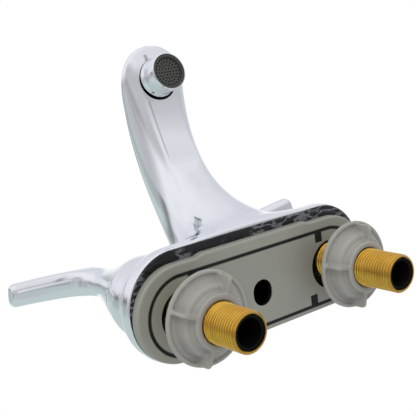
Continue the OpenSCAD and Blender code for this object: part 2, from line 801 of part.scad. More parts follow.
module lever_screw(side) {
    color("silver") at_side(side) difference() {
        union() {
            translate([0, 0, screw_foot + screw_end_gap])
                cylinder(r = screw_r, h = screw_seat - screw_foot);
            translate([0, 0, screw_seat]) cylinder(r = screw_head_r, h = screw_head_t);
        }
        translate([0, 0, screw_seat + screw_head_t - slot_depth])
            for (a = [0, 90]) rotate([0, 0, a])
                translate([-slot_l / 2, -slot_w / 2, 0]) cube([slot_l, slot_w, screw_head_t]);
    }
}

// The index cap's top is a shallow dome
module index_cap(side) {
    foot = lever_top - cap_t + cap_proud;
    color(side < 0 ? "#b23a34" : "#3a5fa8") at_side(side) rotate_extrude() polygon(
        concat([[0, foot], [cap_r, foot]],
               [for (p = quarter(cap_r, cap_dome, 8)) p + [0, foot + cap_side]]));
}

// ---- aerator ------------------------------------------------------------------

recess_depth = 2.2;
outlet_thread_r = 10.2;
outlet_thread_h = 5.2;
outlet_water_r = 5;
outlet_water_h = 7.4;
outlet_link = 9;         // length of the way from the tube's end into the outlet
aerator_neck_h = 4;
aerator_wall = 0.7;
aerator_edge = 0.5;      // chamfers of the sleeve
aerator_shoulder = 0.4;  // gap between the sleeve and the recess's mouth
aerator_thread_t = 1.6;
washer_w = 3.8;
insert_t = 6;
insert_setback = 0.6;
insert_recess = 0.9;     // depth of the perforated face inside its own rim
insert_rim_w = 1.5;
insert_wall = 2.4;
spray_r = 0.5;
spray_pitch = 1.9;
spray_rings = 4;

module aerator_housing() {
    r = aerator_d / 2;
    inner = r - aerator_wall;
    color("gainsboro") at_outlet() difference() {
        rotate_extrude() polygon([
            [0, -aerator_l], [r - aerator_edge, -aerator_l], [r, aerator_edge - aerator_l],
            [r, -aerator_shoulder - aerator_edge], [r - aerator_edge, -aerator_shoulder],
            [outlet_thread_r, -aerator_shoulder], [outlet_thread_r, aerator_neck_h],
            [0, aerator_neck_h]]);
        translate([0, 0, -aerator_l - 1])
            cylinder(r = inner, h = 1 + insert_setback + insert_t);
        cylinder(r = outlet_thread_r - aerator_thread_t, h = 3 * aerator_l, center = true);
    }
}

// A disc of small spray holes, ring by ring, inside a plain rim
module aerator_insert() {
    r = aerator_d / 2 - aerator_wall;
    color("#3c3d39") at_outlet() translate([0, 0, insert_setback - aerator_l]) difference() {
        cylinder(r = r, h = insert_t);
        translate([0, 0, -1]) cylinder(r = r - insert_rim_w, h = 1 + insert_recess);
        translate([0, 0, insert_wall]) cylinder(r = r - insert_wall, h = insert_t);
        cylinder(r = spray_r, h = insert_t, $fn = 16);
        for (ring = [1:spray_rings], i = [0:6 * ring - 1])
            rotate([0, 0, 60 * i / ring]) translate([ring * spray_pitch, 0, 0])
                cylinder(r = spray_r, h = insert_t, $fn = 16);
    }
}

module aerator_washer() {
    color("#202226") at_outlet() translate([0, 0, aerator_neck_h]) difference() {
        cylinder(r = outlet_thread_r, h = outlet_thread_h - aerator_neck_h);
        translate([0, 0, -1]) cylinder(r = outlet_thread_r - washer_w, h = outlet_thread_h);
    }
}

// ---- drawing ------------------------------------------------------------------

body_shell();
rim_gasket();
base_plate();
deck_seal();
manifold();
spout_tube();
shank(-1);  // hot_shank
shank(1);  // cold_shank
shank_liner(-1);  // hot_shank_liner
shank_liner(1);  // cold_shank_liner
mounting_nut(-1, hot_grip, hot_nut_turn);  // hot_mounting_nut
mounting_nut(1, cold_grip, cold_nut_turn);  // cold_mounting_nut
riser_nut(-1);  // hot_riser_nut
riser_nut(1);  // cold_riser_nut
seat_seal(-1);  // hot_seat_seal
seat_seal(1);  // cold_seat_seal
fixed_disc(-1);  // hot_fixed_disc
fixed_disc(1);  // cold_fixed_disc
moving_disc(-1, hot_park);  // hot_moving_disc
moving_disc(1, cold_park);  // cold_moving_disc
cartridge_body(-1);  // hot_cartridge_body
cartridge_body(1);  // cold_cartridge_body
body_oring(-1);  // hot_body_oring
body_oring(1);  // cold_body_oring
stem(-1, hot_park);  // hot_stem
stem(1, cold_park);  // cold_stem
stem_oring(-1);  // hot_stem_oring
stem_oring(1);  // cold_stem_oring
lever(-1, hot_park);  // hot_lever
lever(1, cold_park);  // cold_lever
lever_screw(-1);  // hot_lever_screw
lever_screw(1);  // cold_lever_screw
index_cap(-1);  // hot_index_cap
index_cap(1);  // cold_index_cap
aerator_housing();
aerator_insert();
aerator_washer();
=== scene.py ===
"""Two-lever centreset faucet: castings, mouldings, finishes, light and camera.

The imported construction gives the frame, in metres: the deck's upper face is z = 0, the
inlet shanks stand on the X axis, and the spout reaches forward along -Y. The castings and
mouldings here are made from distance fields, so that their surfaces run smoothly into each
other, and stand for the plainer solids of the same pieces.

A field takes the coordinates x, y and z of its points as one sequence of three arrays, and
gives signed distances, negative inside.
"""

import logging
import math
from collections.abc import Callable, Iterator, Sequence
from contextlib import contextmanager
from dataclasses import dataclass
from enum import Enum
from functools import cache, cached_property

import bmesh
import bpy
import numpy as np
from mathutils import Matrix, Vector


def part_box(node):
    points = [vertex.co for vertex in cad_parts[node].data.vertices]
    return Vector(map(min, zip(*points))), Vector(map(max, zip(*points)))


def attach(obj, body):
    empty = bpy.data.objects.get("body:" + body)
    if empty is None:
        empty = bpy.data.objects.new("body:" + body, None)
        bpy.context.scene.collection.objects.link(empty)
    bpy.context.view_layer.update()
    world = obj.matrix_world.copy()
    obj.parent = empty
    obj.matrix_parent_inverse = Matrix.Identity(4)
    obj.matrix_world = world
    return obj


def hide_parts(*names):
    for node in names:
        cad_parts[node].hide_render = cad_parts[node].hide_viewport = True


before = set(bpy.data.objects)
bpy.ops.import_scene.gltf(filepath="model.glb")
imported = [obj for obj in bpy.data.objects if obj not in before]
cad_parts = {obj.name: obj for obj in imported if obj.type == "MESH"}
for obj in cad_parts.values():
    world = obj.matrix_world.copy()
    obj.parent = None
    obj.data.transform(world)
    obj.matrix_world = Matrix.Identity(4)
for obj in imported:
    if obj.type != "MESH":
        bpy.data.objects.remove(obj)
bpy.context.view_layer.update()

log = logging.getLogger("faucet")

Array = np.ndarray
Object = bpy.types.Object
Place = Sequence[Array]
Field = Callable[[Place], Array]
Point = tuple[float, float]
Triple = tuple[float, float, float]
Sockets = dict[str | int, object]

MM = 0.001
HALF_SPAN = 50.8 * MM
PROBE = 0.02 * MM              # half of the step that slopes are taken over
LEAST_SLOPE = 0.05             # least square of a slope that a point moves along
LEAST_RISE = 0.6               # least slope of a section, times its half width
SKIN_TOLERANCE = 0.05 * MM     # how near its field a casting's skin lies
SMOOTH_ANGLE = math.radians(35)


class Side(Enum):
    """The two sides of the faucet, by the sign of X."""

    HOT = -1
    COLD = 1

    @property
    def label(self) -> str:
        """The side's name in piece and body names."""
        return self.name.lower()

    @property
    def axis(self) -> Matrix:
        """The place of the side's shank and valve."""
        return Matrix.Translation((self.value * HALF_SPAN, 0, 0))


# ---- distance fields -----------------------------------------------------------------


def smooth_union(a: Array, b: Array, width: float) -> Array:
    """Joins two fields with a fillet that starts a width away from the seam."""
    near = np.maximum(width - np.abs(a - b), 0) / width
    return np.minimum(a, b) - near**3 * width / 6


def round_cut(a: Array, b: Array, radius: float) -> Array:
    """Keeps what is in both fields, with an edge of one radius."""
    outside = np.hypot(np.maximum(a + radius, 0), np.maximum(b + radius, 0))
    return np.minimum(np.maximum(a, b), -radius) + outside


def smooth_step(value: Array, start: float, end: float) -> Array:
    """Rises from 0 where the value is start to 1 where it is end, level at both."""
    share = np.clip((value - start) / (end - start), 0, 1)
    return share * share * (3 - 2 * share)


def dome(beyond: Array, above: Array, width: float, height: float) -> Array:
    """Signed distances to a quarter of an ellipse, swept along or round a form.

    Args:
        beyond: How far each point lies outside the ellipse's middle.
        above: How far it lies above that middle.
        width: Half of the ellipse's width.
        height: Half of its height.

    Returns:
        Signed distances.
    """
    out, up = np.maximum(beyond, 0) / width, np.maximum(above, 0) / height
    steep = 2 * np.sqrt((out / width) ** 2 + (up / height) ** 2)
    return (out**2 + up**2 - 1) / np.maximum(steep, LEAST_RISE / width)


def squared_round(
    across: Array, up: Array, wide: Array, thick: Array, n: float
) -> tuple[Array, Array]:
    """Level and slope of a section between an ellipse and a rectangle.

    Args:
        across: How far each point lies beside the section's middle.
        up: How far it lies above that middle.
        wide: Half of the section's width.
        thick: Half of its thickness.
        n: Its squareness, 2 for an ellipse.

    Returns:
        Levels, 1 on the outline, and how steeply they rise there.
    """
    in_x, in_v = np.abs(across) / wide, np.abs(up) / thick
    radius = np.maximum((in_x**n + in_v**n) ** (1 / n), 1e-3)
    rise = np.hypot(in_x ** (n - 1) / wide, in_v ** (n - 1) / thick)
    return radius**2, 2 * radius ** (2 - n) * rise


def outline_distance(outline: Sequence[Point], r: Array, z: Array) -> Array:
    """Signed distances to a closed outline in the plane of r and z.

    Args:
        outline: Corner points (r, z) of the outline, in order.
        r: Distances from the axis.
        z: Heights.

    Returns:
        Signed distances, negative inside.
    """
    r, z = np.broadcast_arrays(r, z)
    nearest = np.full(r.shape, np.inf)
    inside = np.zeros(r.shape, bool)
    for (r0, z0), (r1, z1) in zip(outline, [*outline[1:], outline[0]]):
        er, ez = r1 - r0, z1 - z0
        wr, wz = r - r0, z - z0
        share = np.clip((wr * er + wz * ez) / (er * er + ez * ez), 0, 1)
        nearest = np.minimum(nearest, (wr - er * share) ** 2 + (wz - ez * share) ** 2)
        if ez:
            inside ^= ((z0 <= z) != (z1 <= z)) & (wr < er * wz / ez)
    return np.where(inside, -1, 1) * np.sqrt(nearest)


def gradient(field: Field, points: Array) -> Array:
    """Slopes of a field at points.

    Args:
        field: The field.
        points: Points, one a row.

    Returns:
        One slope vector a row.
    """
    ahead, behind = (
        field(np.moveaxis(points[:, None] + step * np.eye(3), -1, 0)) for step in (PROBE, -PROBE)
    )
    return (ahead - behind) / (2 * PROBE)


def settle(field: Field, points: Array, limit: float, rounds: int) -> Array:
    """Moves points onto a field's surface.

    Args:
        field: The field.
        points: Points near its surface, one a row.
        limit: How far a point may move in one round.
        rounds: How often each point moves.

    Returns:
        The moved points.
    """
    for _ in range(rounds):
        slope = gradient(field, points)
        size = np.maximum((slope**2).sum(1), LEAST_SLOPE)
        move = (field(points.T) / size)[:, None] * slope
        length = np.linalg.norm(move, axis=1, keepdims=True)
        points = points - move * np.minimum(1, limit / np.maximum(length, 1e-12))
    return points


def surface_net(values: Array, low: Array, step: float) -> tuple[Array, Array]:
    """The surface between the negative and the positive values of a grid.

    Args:
        values: Field values on a regular grid.
        low: The grid's lowest corner.
        step: The grid's spacing.

    Returns:
        Vertices, one a row, and quads as rows of four vertex numbers.
    """
    inside = values < 0
    count = np.lib.stride_tricks.sliding_window_view(inside, (2, 2, 2)).sum((3, 4, 5))
    mixed = (count > 0) & (count < 8)
    cells = np.argwhere(mixed)
    number = np.full(mixed.shape, -1)
    number[mixed] = np.arange(len(cells))
    total, hits, quads = np.zeros(cells.shape), np.zeros(len(cells)), []
    units = np.eye(3, dtype=int)
    for axis in range(3):
        others = [(axis + 1) % 3, (axis + 2) % 3]
        corners = [units[others].T @ corner for corner in ((0, 0), (1, 0), (1, 1), (0, 1))]
        for start in (corners[0], corners[3], corners[1], corners[2]):
            v0 = values[tuple((cells + start).T)]
            v1 = values[tuple((cells + start + units[axis]).T)]
            crossed = (v0 < 0) != (v1 < 0)
            share = np.where(crossed, v0 / np.where(crossed, v0 - v1, 1), 0)
            total += crossed[:, None] * (start + share[:, None] * units[axis])
            hits += crossed

        edges = np.argwhere(np.diff(inside, axis=axis))
        beside = edges[:, others]
        edges = edges[((beside > 0) & (beside < np.array(values.shape)[others] - 1)).all(1)]
        ring = np.stack([number[tuple((edges - corner).T)] for corner in corners], axis=1)
        quads.append(np.where(inside[tuple(edges.T)][:, None], ring, ring[:, ::-1]))
    return low + step * (cells + total / hits[:, None]), np.concatenate(quads)


# ---- meshes --------------------------------------------------------------------------


def mesh_object(name: str, vertices: Array, quads: Array) -> Object:
    """A mesh object at the origin, with smooth faces.

    Args:
        name: Name of the object and its mesh.
        vertices: Vertices, one a row, in metres.
        quads: The four vertex numbers of each face, one face a row.

    Returns:
        The new object, linked to the scene.
    """
    mesh = bpy.data.meshes.new(name)
    mesh.from_pydata(vertices.tolist(), [], quads.tolist())
    mesh.shade_smooth()
    mesh.update()
    made = bpy.data.objects.new(name, mesh)
    bpy.context.scene.collection.objects.link(made)
    return made


def cast(name: str, field: Field, low: Array, high: Array, step: float, rounds: int = 3) -> Object:
    """Makes a mesh of a field's surface.

    Args:
        name: Name of the object.
        field: The field.
        low: Lowest corner of the room that the surface lies in.
        high: Highest corner of that room.
        step: Spacing of the points.
        rounds: How often the points are then moved onto the surface.

    Returns:
        The new object.
    """
    grid = np.ix_(*(np.arange(a, b + step, step) for a, b in zip(low, high)))
    points, quads = surface_net(field(grid), low, step)
    return mesh_object(name, settle(field, points, step / 2, rounds), quads)


def band(rings: int, count: int) -> Array:
    """Quads between rings of points, of which the last is joined to the first.

    Args:
        rings: Number of rings.
        count: Points of each ring.

    Returns:
        Vertex numbers, one quad a row.
    """
    here = np.arange(rings * count).reshape(rings, count)
    there = np.roll(here, -1, axis=0)
    quads = [here, there, np.roll(there, -1, axis=1), np.roll(here, -1, axis=1)]
    return np.stack(quads, axis=2).reshape(-1, 4)


@contextmanager
def edited(mesh: bpy.types.Mesh) -> Iterator[bmesh.types.BMesh]:
    """Opens a mesh for editing, then turns its faces outwards and writes it back.

    Args:
        mesh: The mesh.

    Yields:
        Its editable form.
    """
    work = bmesh.new()
    work.from_mesh(mesh)
    yield work
    bmesh.ops.recalc_face_normals(work, faces=work.faces)
    work.to_mesh(mesh)
    work.free()


def lathe(name: str, outline: Sequence[Point], sides: int = 96) -> Object:
    """A solid of revolution about Z, from a closed half outline.

    Args:
        name: Name of the object.
        outline: Points (r, z) in order, counter-clockwise in that plane.
        sides: Number of faces round the axis.

    Returns:
        The new object.
    """
    angles = np.linspace(0, 2 * math.pi, sides, endpoint=False)
    r, z = np.array(outline).T
    x, y = np.outer(np.cos(angles), r), np.outer(np.sin(angles), r)
    vertices = np.stack([x, y, np.tile(z, (sides, 1))], axis=2).reshape(-1, 3)
    made = mesh_object(name, vertices, band(sides, len(outline)))
    with edited(made.data) as work:
        bmesh.ops.remove_doubles(work, verts=work.verts, dist=1e-7)
        bmesh.ops.dissolve_degenerate(work, edges=work.edges, dist=1e-8)
    return made


def close_below(target: Object, height: float) -> None:
    """Cuts a form off at a height and closes it there.

    Args:
        target: The form, which is open at its lower end.
        height: Height of the cut.
    """
    with edited(target.data) as work:
        everything = [*work.verts, *work.edges, *work.faces]
        bmesh.ops.bisect_plane(
            work, geom=everything, plane_co=(0, 0, height), plane_no=(0, 0, -1), clear_outer=True
        )
        rim = [edge for edge in work.edges if edge.is_boundary]
        bmesh.ops.holes_fill(work, edges=rim, sides=0)


def subtract(target: Object, cutters: Sequence[Object]) -> None:
    """Cuts solids out of a solid, and removes the cutters.

    Args:
        target: The solid that stays.
        cutters: The solids to take away.
    """
    for cutter in cutters:
        modifier = target.modifiers.new("cut", "BOOLEAN")
        modifier.operation, modifier.solver = "DIFFERENCE", "EXACT"
        modifier.material_mode = "TRANSFER"
        modifier.object = cutter
    shapes = bpy.context.evaluated_depsgraph_get()
    old = target.data
    target.data = bpy.data.meshes.new_from_object(target.evaluated_get(shapes))
    target.data.name = target.name
    target.modifiers.clear()
    for mesh in (old, *(cutter.data for cutter in cutters)):
        bpy.data.meshes.remove(mesh)


def read_rows(items: Sequence, name: str, width: int) -> Array:
    """Reads one property of many mesh items.

    Args:
        items: The items.
        name: Name of the property.
        width: Numbers that each item has, which are whole where it is 1.

    Returns:
        The numbers, one item a row.
    """
    values = np.zeros(len(items) * width, np.int32 if width == 1 else np.float32)
    items.foreach_get(name, values)
    return values.reshape(-1, width)


def shade_by_field(target: Object, field: Field) -> None:
    """Gives a casting the exact normals of its field, and keeps its cut edges sharp.

    Args:
        target: The casting.
        field: The field that its skin was made from.
    """
    mesh = target.data
    mesh.shade_smooth()
    mesh.set_sharp_from_angle(angle=SMOOTH_ANGLE)
    normals = read_rows(mesh.corner_normals, "vector", 3).astype(float)
    owner = read_rows(mesh.loops, "vertex_index", 1)[:, 0]
    points = read_rows(mesh.vertices, "co", 3).astype(float)
    slope = gradient(field, points)
    slope /= np.maximum(np.linalg.norm(slope, axis=1, keepdims=True), 1e-9)
    on_skin = np.abs(field(points.T)) < SKIN_TOLERANCE
    totals = read_rows(mesh.polygons, "loop_total", 1)[:, 0]
    flat = np.repeat(read_rows(mesh.polygons, "normal", 3), totals, axis=0)
    agrees = (flat * slope[owner]).sum(1) > math.cos(SMOOTH_ANGLE)
    use = on_skin[owner] & agrees
    normals[use] = slope[owner][use]
    mesh.normals_split_custom_set(normals.tolist())


def move_shaded(target: Object, place: Matrix) -> None:
    """Moves a mesh with its own normals.

    Args:
        target: The object whose mesh moves.
        place: A turn and a shift.
    """
    normals = read_rows(target.data.corner_normals, "vector", 3)
    target.data.transform(place)
    target.data.normals_split_custom_set((normals @ np.array(place.to_3x3()).T).tolist())


# ---- shader nodes --------------------------------------------------------------------


@dataclass(frozen=True)
class Signal:
    """One output socket of a shader node, which takes part in Python expressions."""

    shader: "Shader"
    socket: bpy.types.NodeSocket

    def _math(self, operation: str, first: object, second: object) -> "Signal":
        """The result of a Math node for two numbers or signals."""
        return self.shader.signal("ShaderNodeMath", 0, {0: first, 1: second}, operation=operation)

    def __add__(self, other: object) -> "Signal":
        """self + other."""
        return self._math("ADD", self, other)

    def __radd__(self, other: object) -> "Signal":
        """other + self."""
        return self._math("ADD", other, self)

    def __sub__(self, other: object) -> "Signal":
        """self - other."""
        return self._math("SUBTRACT", self, other)

    def __rsub__(self, other: object) -> "Signal":
        """other - self."""
        return self._math("SUBTRACT", other, self)

    def __mul__(self, other: object) -> "Signal":
        """self * other."""
        return self._math("MULTIPLY", self, other)

    def __rmul__(self, other: object) -> "Signal":
        """other * self."""
        return self._math("MULTIPLY", other, self)

    def __truediv__(self, other: object) -> "Signal":
        """self / other."""
        return self._math("DIVIDE", self, other)

    def __rtruediv__(self, other: object) -> "Signal":
        """other / self."""
        return self._math("DIVIDE", other, self)

    def __pow__(self, other: object) -> "Signal":
        """self ** other."""
        return self._math("POWER", self, other)

    def __rpow__(self, other: object) -> "Signal":
        """other ** self."""
        return self._math("POWER", other, self)

    def above(self, other: object) -> "Signal":
        """The larger of self and other."""
        return self._math("MAXIMUM", self, other)

    def __abs__(self) -> "Signal":
        """self without its sign."""
        return self.above(self * -1)

    def ramp(self, start: float, end: float) -> "Signal":
        """A smooth rise of the signal.

        Args:
            start: Signal at which the rise starts, from 0.
            end: Signal at which it ends, at 1.

        Returns:
            The risen signal.
        """
        inputs = {"Value": self, "From Min": start, "From Max": end}
        return self.shader.signal(
            "ShaderNodeMapRange", "Result", inputs, interpolation_type="SMOOTHSTEP"
        )


class Shader:
    """A node tree under construction."""

    def __init__(self, tree: bpy.types.NodeTree) -> None:
        """Starts from a tree, whose nodes are removed."""
        self.tree = tree
        tree.nodes.clear()

    def node(self, kind: str, inputs: Sockets | None = None, **settings: object) -> bpy.types.Node:
        """Adds a node.

        Args:
            kind: The node's type.
            inputs: Values or signals for its sockets, by name or number.
            **settings: Properties of the node, which are set first.

        Returns:
            The new node.
        """
        made = self.tree.nodes.new(kind)
        for name, value in settings.items():
            setattr(made, name, value)
        for name, value in (inputs or {}).items():
            socket = made.inputs[name]
            if isinstance(value, Signal):
                self.tree.links.new(value.socket, socket)
            else:
                socket.default_value = (*value, 1) if socket.type == "RGBA" else value
        return made

    def signal(
        self, kind: str, output: str | int, inputs: Sockets | None = None, **settings: object
    ) -> Signal:
        """Adds a node, as node() does, and returns one of its outputs."""
        return Signal(self, self.node(kind, inputs, **settings).outputs[output])

    def place(self) -> Signal:
        """The point on the object, in the frame's metres."""
        return self.signal("ShaderNodeTexCoord", "Object")

    def stretched(self, scale: Triple) -> Signal:
        """The point on the object, with each of its parts scaled."""
        return self.signal("ShaderNodeMapping", 0, {"Vector": self.place(), "Scale": scale})

    def noise(self, scale: float, detail: float, place: Signal | None = None) -> Signal:
        """Soft variation round 0.5: variations in a metre, finer layers, and where."""
        inputs = {"Vector": place or self.place(), "Scale": scale, "Detail": detail}
        return self.signal("ShaderNodeTexNoise", "Fac", inputs)

    def vector(self, operation: str, output: str | int, first: object, second: object) -> Signal:
        """One output of a Vector Math node for two vectors."""
        inputs = {0: first, 1: second}
        return self.signal("ShaderNodeVectorMath", output, inputs, operation=operation)

    def split(self, vector: Signal) -> tuple[Signal, ...]:
        """The three parts of a vector."""
        node = self.node("ShaderNodeSeparateXYZ", {0: vector})
        return tuple(Signal(self, output) for output in node.outputs)

    def mix(self, share: object, first: object, second: object) -> Signal:
        """A colour, the first where the share is 0 and the second where it is 1."""
        inputs = {0: share, 6: first, 7: second}
        return self.signal("ShaderNodeMix", 2, inputs, data_type="RGBA")

    def bump(self, height: Signal, distance: float) -> Signal:
        """Normals that follow a height, of which 1 stands for a distance in metres."""
        return self.signal("ShaderNodeBump", "Normal", {"Height": height, "Distance": distance})


@dataclass(frozen=True)
class Patches:
    """Soft patches over a surface.

    They come from a noise, by its scale and its detail, and lie where it rises from start to
    full. A full patch has a share, its tint, of the second colour, and adds to the roughness.
    """

    scale: float
    detail: float
    start: float
    full: float
    tint: float = 1.0
    blur: float = 0.0

    def on(self, s: Shader, place: Signal | None = None) -> Signal:
        """How much of a patch each point lies in."""
        return s.noise(self.scale, self.detail, place).ramp(self.start, self.full)


# ---- finishes ------------------------------------------------------------------------


@dataclass(frozen=True)
class Coating:
    """A finish: a colour with patches of a second one, a roughness and a fine relief.

    The relief is a noise, by its scale, its detail and its height. It may be stretched, and
    may add to the roughness.
    """

    name: str
    colour: Triple
    shade: Triple
    roughness: float
    patches: tuple[Patches, ...] = ()
    relief: Triple = (0, 0, 0)
    relief_blur: float = 0.0
    stretch: Triple | None = None
    metallic: float = 0.0
    gloss: float = 0.5

    def sockets(self, s: Shader) -> Sockets:
        """Works out the surface.

        Args:
            s: The material's node tree.

        Returns:
            Values and signals for the shader's sockets, by name.
        """
        scale, detail, height = self.relief
        relief = s.noise(scale, detail, self.stretch and s.stretched(self.stretch))
        full = [(patch, patch.on(s)) for patch in self.patches]
        blur = sum(share * patch.blur for patch, share in full) + relief * self.relief_blur
        tint = sum(share * patch.tint for patch, share in full)
        return {
            "Base Color": s.mix(tint, self.colour, self.shade),
            "Metallic": self.metallic,
            "Roughness": blur + self.roughness,
            "Specular IOR Level": self.gloss,
            "Normal": s.bump(relief, height),
        }

    def material(self) -> bpy.types.Material:
        """Makes the finish.

        Returns:
            A material with one Principled shader.
        """
        material = bpy.data.materials.new(self.name)
        material.use_nodes = True
        s = Shader(material.node_tree)
        surface = s.signal("ShaderNodeBsdfPrincipled", 0, self.sockets(s))
        s.node("ShaderNodeOutputMaterial", {"Surface": surface})
        return material


@dataclass(frozen=True)
class Chrome(Coating):
    """Bright chromium plate over polished zinc, with clouds, wipe marks and slow waves."""

    name: str = "chrome"
    colour: Triple = (0.90, 0.905, 0.93)
    shade: Triple = (0.80, 0.81, 0.84)
    roughness: float = 0.05
    patches: tuple[Patches, ...] = (
        Patches(38, 4, 0.42, 0.78, 0.5, 0.06), Patches(210, 3, 0.5, 0.8, 0.2, 0.02),
    )
    relief: Triple = (24, 1, 0.06 * MM)
    metallic: float = 1.0


@dataclass(frozen=True)
class MouldedPlastic(Coating):
    """Injection-moulded plastic with a fine spark-eroded grain."""

    roughness: float = 0.42
    patches: tuple[Patches, ...] = (
        Patches(42, 3, 0.35, 0.7, 0.6), Patches(420, 2, 0.56, 0.8, 0.3, 0.1),
    )
    relief: Triple = (1500, 2, 0.015 * MM)
    relief_blur: float = 0.12
    gloss: float = 0.45


@dataclass(frozen=True)
class PlatePlastic(MouldedPlastic):
    """The plate's plastic, with painted shade up in the drain opening and along the seal's groove.
    """

    opening_back: float = 5.2 * MM
    opening_half_width: float = 6.45 * MM
    opening_half_length: float = 7.3 * MM
    # Painted shade up in the drain opening: the height where it starts, where it is full, and its
    # colour.
    opening_start: float = 0.25 * MM
    opening_black: float = 0.7 * MM
    opening_colour: Triple = (0.006, 0.006, 0.006)
    seal_back: float = 2.5 * MM
    seal_radius: float = 20.9 * MM
    # Painted shade along the seal's groove: its half width, its fade and its colour.
    seal_width: float = 0.9 * MM
    seal_fade: float = 0.3 * MM
    seal_colour: Triple = (0.02, 0.02, 0.02)

    def sockets(self, s: Shader) -> Sockets:
        """Works out the surface.

        Args:
            s: The material's node tree.

        Returns:
            Values and signals for the shader's sockets, by name.
        """
        made = super().sockets(s)
        x, y, z = s.split(s.place())
        beside = abs(x) / self.opening_half_width
        along = abs(y - self.opening_back) / self.opening_half_length
        # Painted shade: black up inside the drain opening, from just above the plate's underside.
        deep = z.ramp(self.opening_start, self.opening_black)
        inside = beside.above(along).ramp(1.03, 1.0) * deep
        colour = s.mix(inside, made["Base Color"], self.opening_colour)
        # Painted shade along the seal's groove, a dark line a little wider than the groove.
        past_end, back = (abs(x) - HALF_SPAN).above(0), y - self.seal_back
        off = abs((past_end * past_end + back * back) ** 0.5 - self.seal_radius)
        near = off.ramp(self.seal_width + self.seal_fade, self.seal_width)
        return made | {"Base Color": s.mix(near * 0.85, colour, self.seal_colour)}


@dataclass(frozen=True)
class TurnedBrass(Coating):
    """Bright brass of the shanks, with painted shade in the grooves between the ridges of the
    thread.
    """

    roughness: float = 0.14
    patches: tuple[Patches, ...] = (Patches(95, 4, 0.4, 0.75, 1, 0.08),)
    relief: Triple = (260, 3, 0.03 * MM)
    relief_blur: float = 0.08
    stretch: Triple = (1, 1, 14)
    metallic: float = 1.0
    # Painted shade in the thread's grooves: its colour and how much of it.
    groove: Triple = (0.36, 0.17, 0.02)
    groove_tint: float = 0.6
    ridge: float = 10.3 * MM
    root: float = 9.85 * MM

    def sockets(self, s: Shader) -> Sockets:
        """Works out the surface.

        Args:
            s: The material's node tree.

        Returns:
            Values and signals for the shader's sockets, by name.
        """
        made = super().sockets(s)
        x, y, _ = s.split(s.place())
        across = abs(x) - HALF_SPAN
        away = (across * across + y * y) ** 0.5
        # Painted shade: darker where the surface lies down in the thread's grooves.
        deep = away.ramp(self.ridge, self.root) * self.groove_tint
        return made | {
            "Base Color": s.mix(deep, made["Base Color"], self.groove),
            "Coat Weight": 0.3,
            "Coat Roughness": 0.15,
            "Sheen Weight": 0.5,
            "Sheen Roughness": 0.3,
            "Sheen Tint": (1.0, 0.88, 0.55),
        }


@dataclass(frozen=True)
class CastBrass(Coating):
    """Dull cast brass, with painted shade low down, where little light gets in from below."""

    roughness: float = 0.5
    patches: tuple[Patches, ...] = (Patches(95, 4, 0.4, 0.75, 1, 0.14),)
    relief: Triple = (700, 3, 0.03 * MM)
    relief_blur: float = 0.1
    metallic: float = 1.0
    # Painted shade low down: its colour, the height below which it is full, and its fade.
    deep: Triple = (0.012, 0.011, 0.009)
    dark_below: float = 9 * MM
    fade: float = 3 * MM

    def sockets(self, s: Shader) -> Sockets:
        """Works out the surface.

        Args:
            s: The material's node tree.

        Returns:
            Values and signals for the shader's sockets, by name.
        """
        made = super().sockets(s)
        # Painted shade: darker towards the bottom, full below a set height.
        low = s.split(s.place())[2].ramp(self.dark_below + self.fade, self.dark_below)
        return made | {"Base Color": s.mix(low, made["Base Color"], self.deep)}


@dataclass(frozen=True)
class Rubber(Coating):
    """Black moulded rubber or hard plastic."""

    colour: Triple = (0.008, 0.009, 0.01)
    shade: Triple = (0.018, 0.018, 0.02)
    roughness: float = 0.5
    patches: tuple[Patches, ...] = (Patches(130, 4, 0.4, 0.8, 1, 0.15),)
    relief: Triple = (1900, 2, 0.01 * MM)
    gloss: float = 0.2


@dataclass(frozen=True)
class CreasedFoil(Coating):
    """Painted shade for the gap under the shell's lip: black, with creases that catch the light in
    its second colour.
    """

    name: str = "painted_gap_shade"
    colour: Triple = (0.004, 0.004, 0.005)
    shade: Triple = (0.24, 0.25, 0.27)
    roughness: float = 0.22
    crease_depth: float = 1.1 * MM
    creased: Patches = Patches(45, 2, 0.44, 0.6)

    def sockets(self, s: Shader) -> Sockets:
        """Works out the surface.

        Args:
            s: The material's node tree.

        Returns:
            Values and signals for the shader's sockets, by name.
        """
        fold = s.noise(260, 4, s.stretched((0.35, 1, 1)))
        ridge = (fold - 0.5) * (fold - 0.5)
        line = ridge.ramp(0.003, 0.0) * self.creased.on(s)
        # The black base colour is painted shade for the gap under the shell's lip.
        return {
            "Base Color": s.mix(line, self.colour, self.shade),
            "Metallic": line,
            "Roughness": line * 0.15 + self.roughness,
            "Specular IOR Level": 0.4,
            "Normal": s.bump(fold, self.crease_depth),
        }


@dataclass(frozen=True)
class PlatedRecess(Coating):
    """The recess round the outlet, plated, with painted shade at one side, towards the spout's
    root.
    """

    name: str = "plated_recess"
    colour: Triple = (0.72, 0.725, 0.745)
    # Painted shade colour, on the side towards the spout's root.
    shade: Triple = (0.012, 0.012, 0.013)
    roughness: float = 0.15
    outlet: Triple = (0.0, -112 * MM, 76.5 * MM)
    dark_side: Triple = (0.30, 0.93, 0.20)
    turn_start: float = -5 * MM
    turn_end: float = 3 * MM

    def sockets(self, s: Shader) -> Sockets:
        """Works out the surface.

        Args:
            s: The material's node tree.

        Returns:
            Values and signals for the shader's sockets, by name.
        """
        off = s.vector("SUBTRACT", 0, s.place(), self.outlet)
        side = s.vector("DOT_PRODUCT", "Value", off, self.dark_side)
        # Painted shade: the plating turns near black towards the spout's root.
        grime, root_side_shade = s.noise(160, 3), side.ramp(self.turn_start, self.turn_end)
        return {
            "Base Color": s.mix(root_side_shade, self.colour, self.shade),
            "Metallic": 1.0,
            "Roughness": grime * 0.2 + self.roughness,
            "Normal": s.bump(grime, 0.02 * MM),
        }


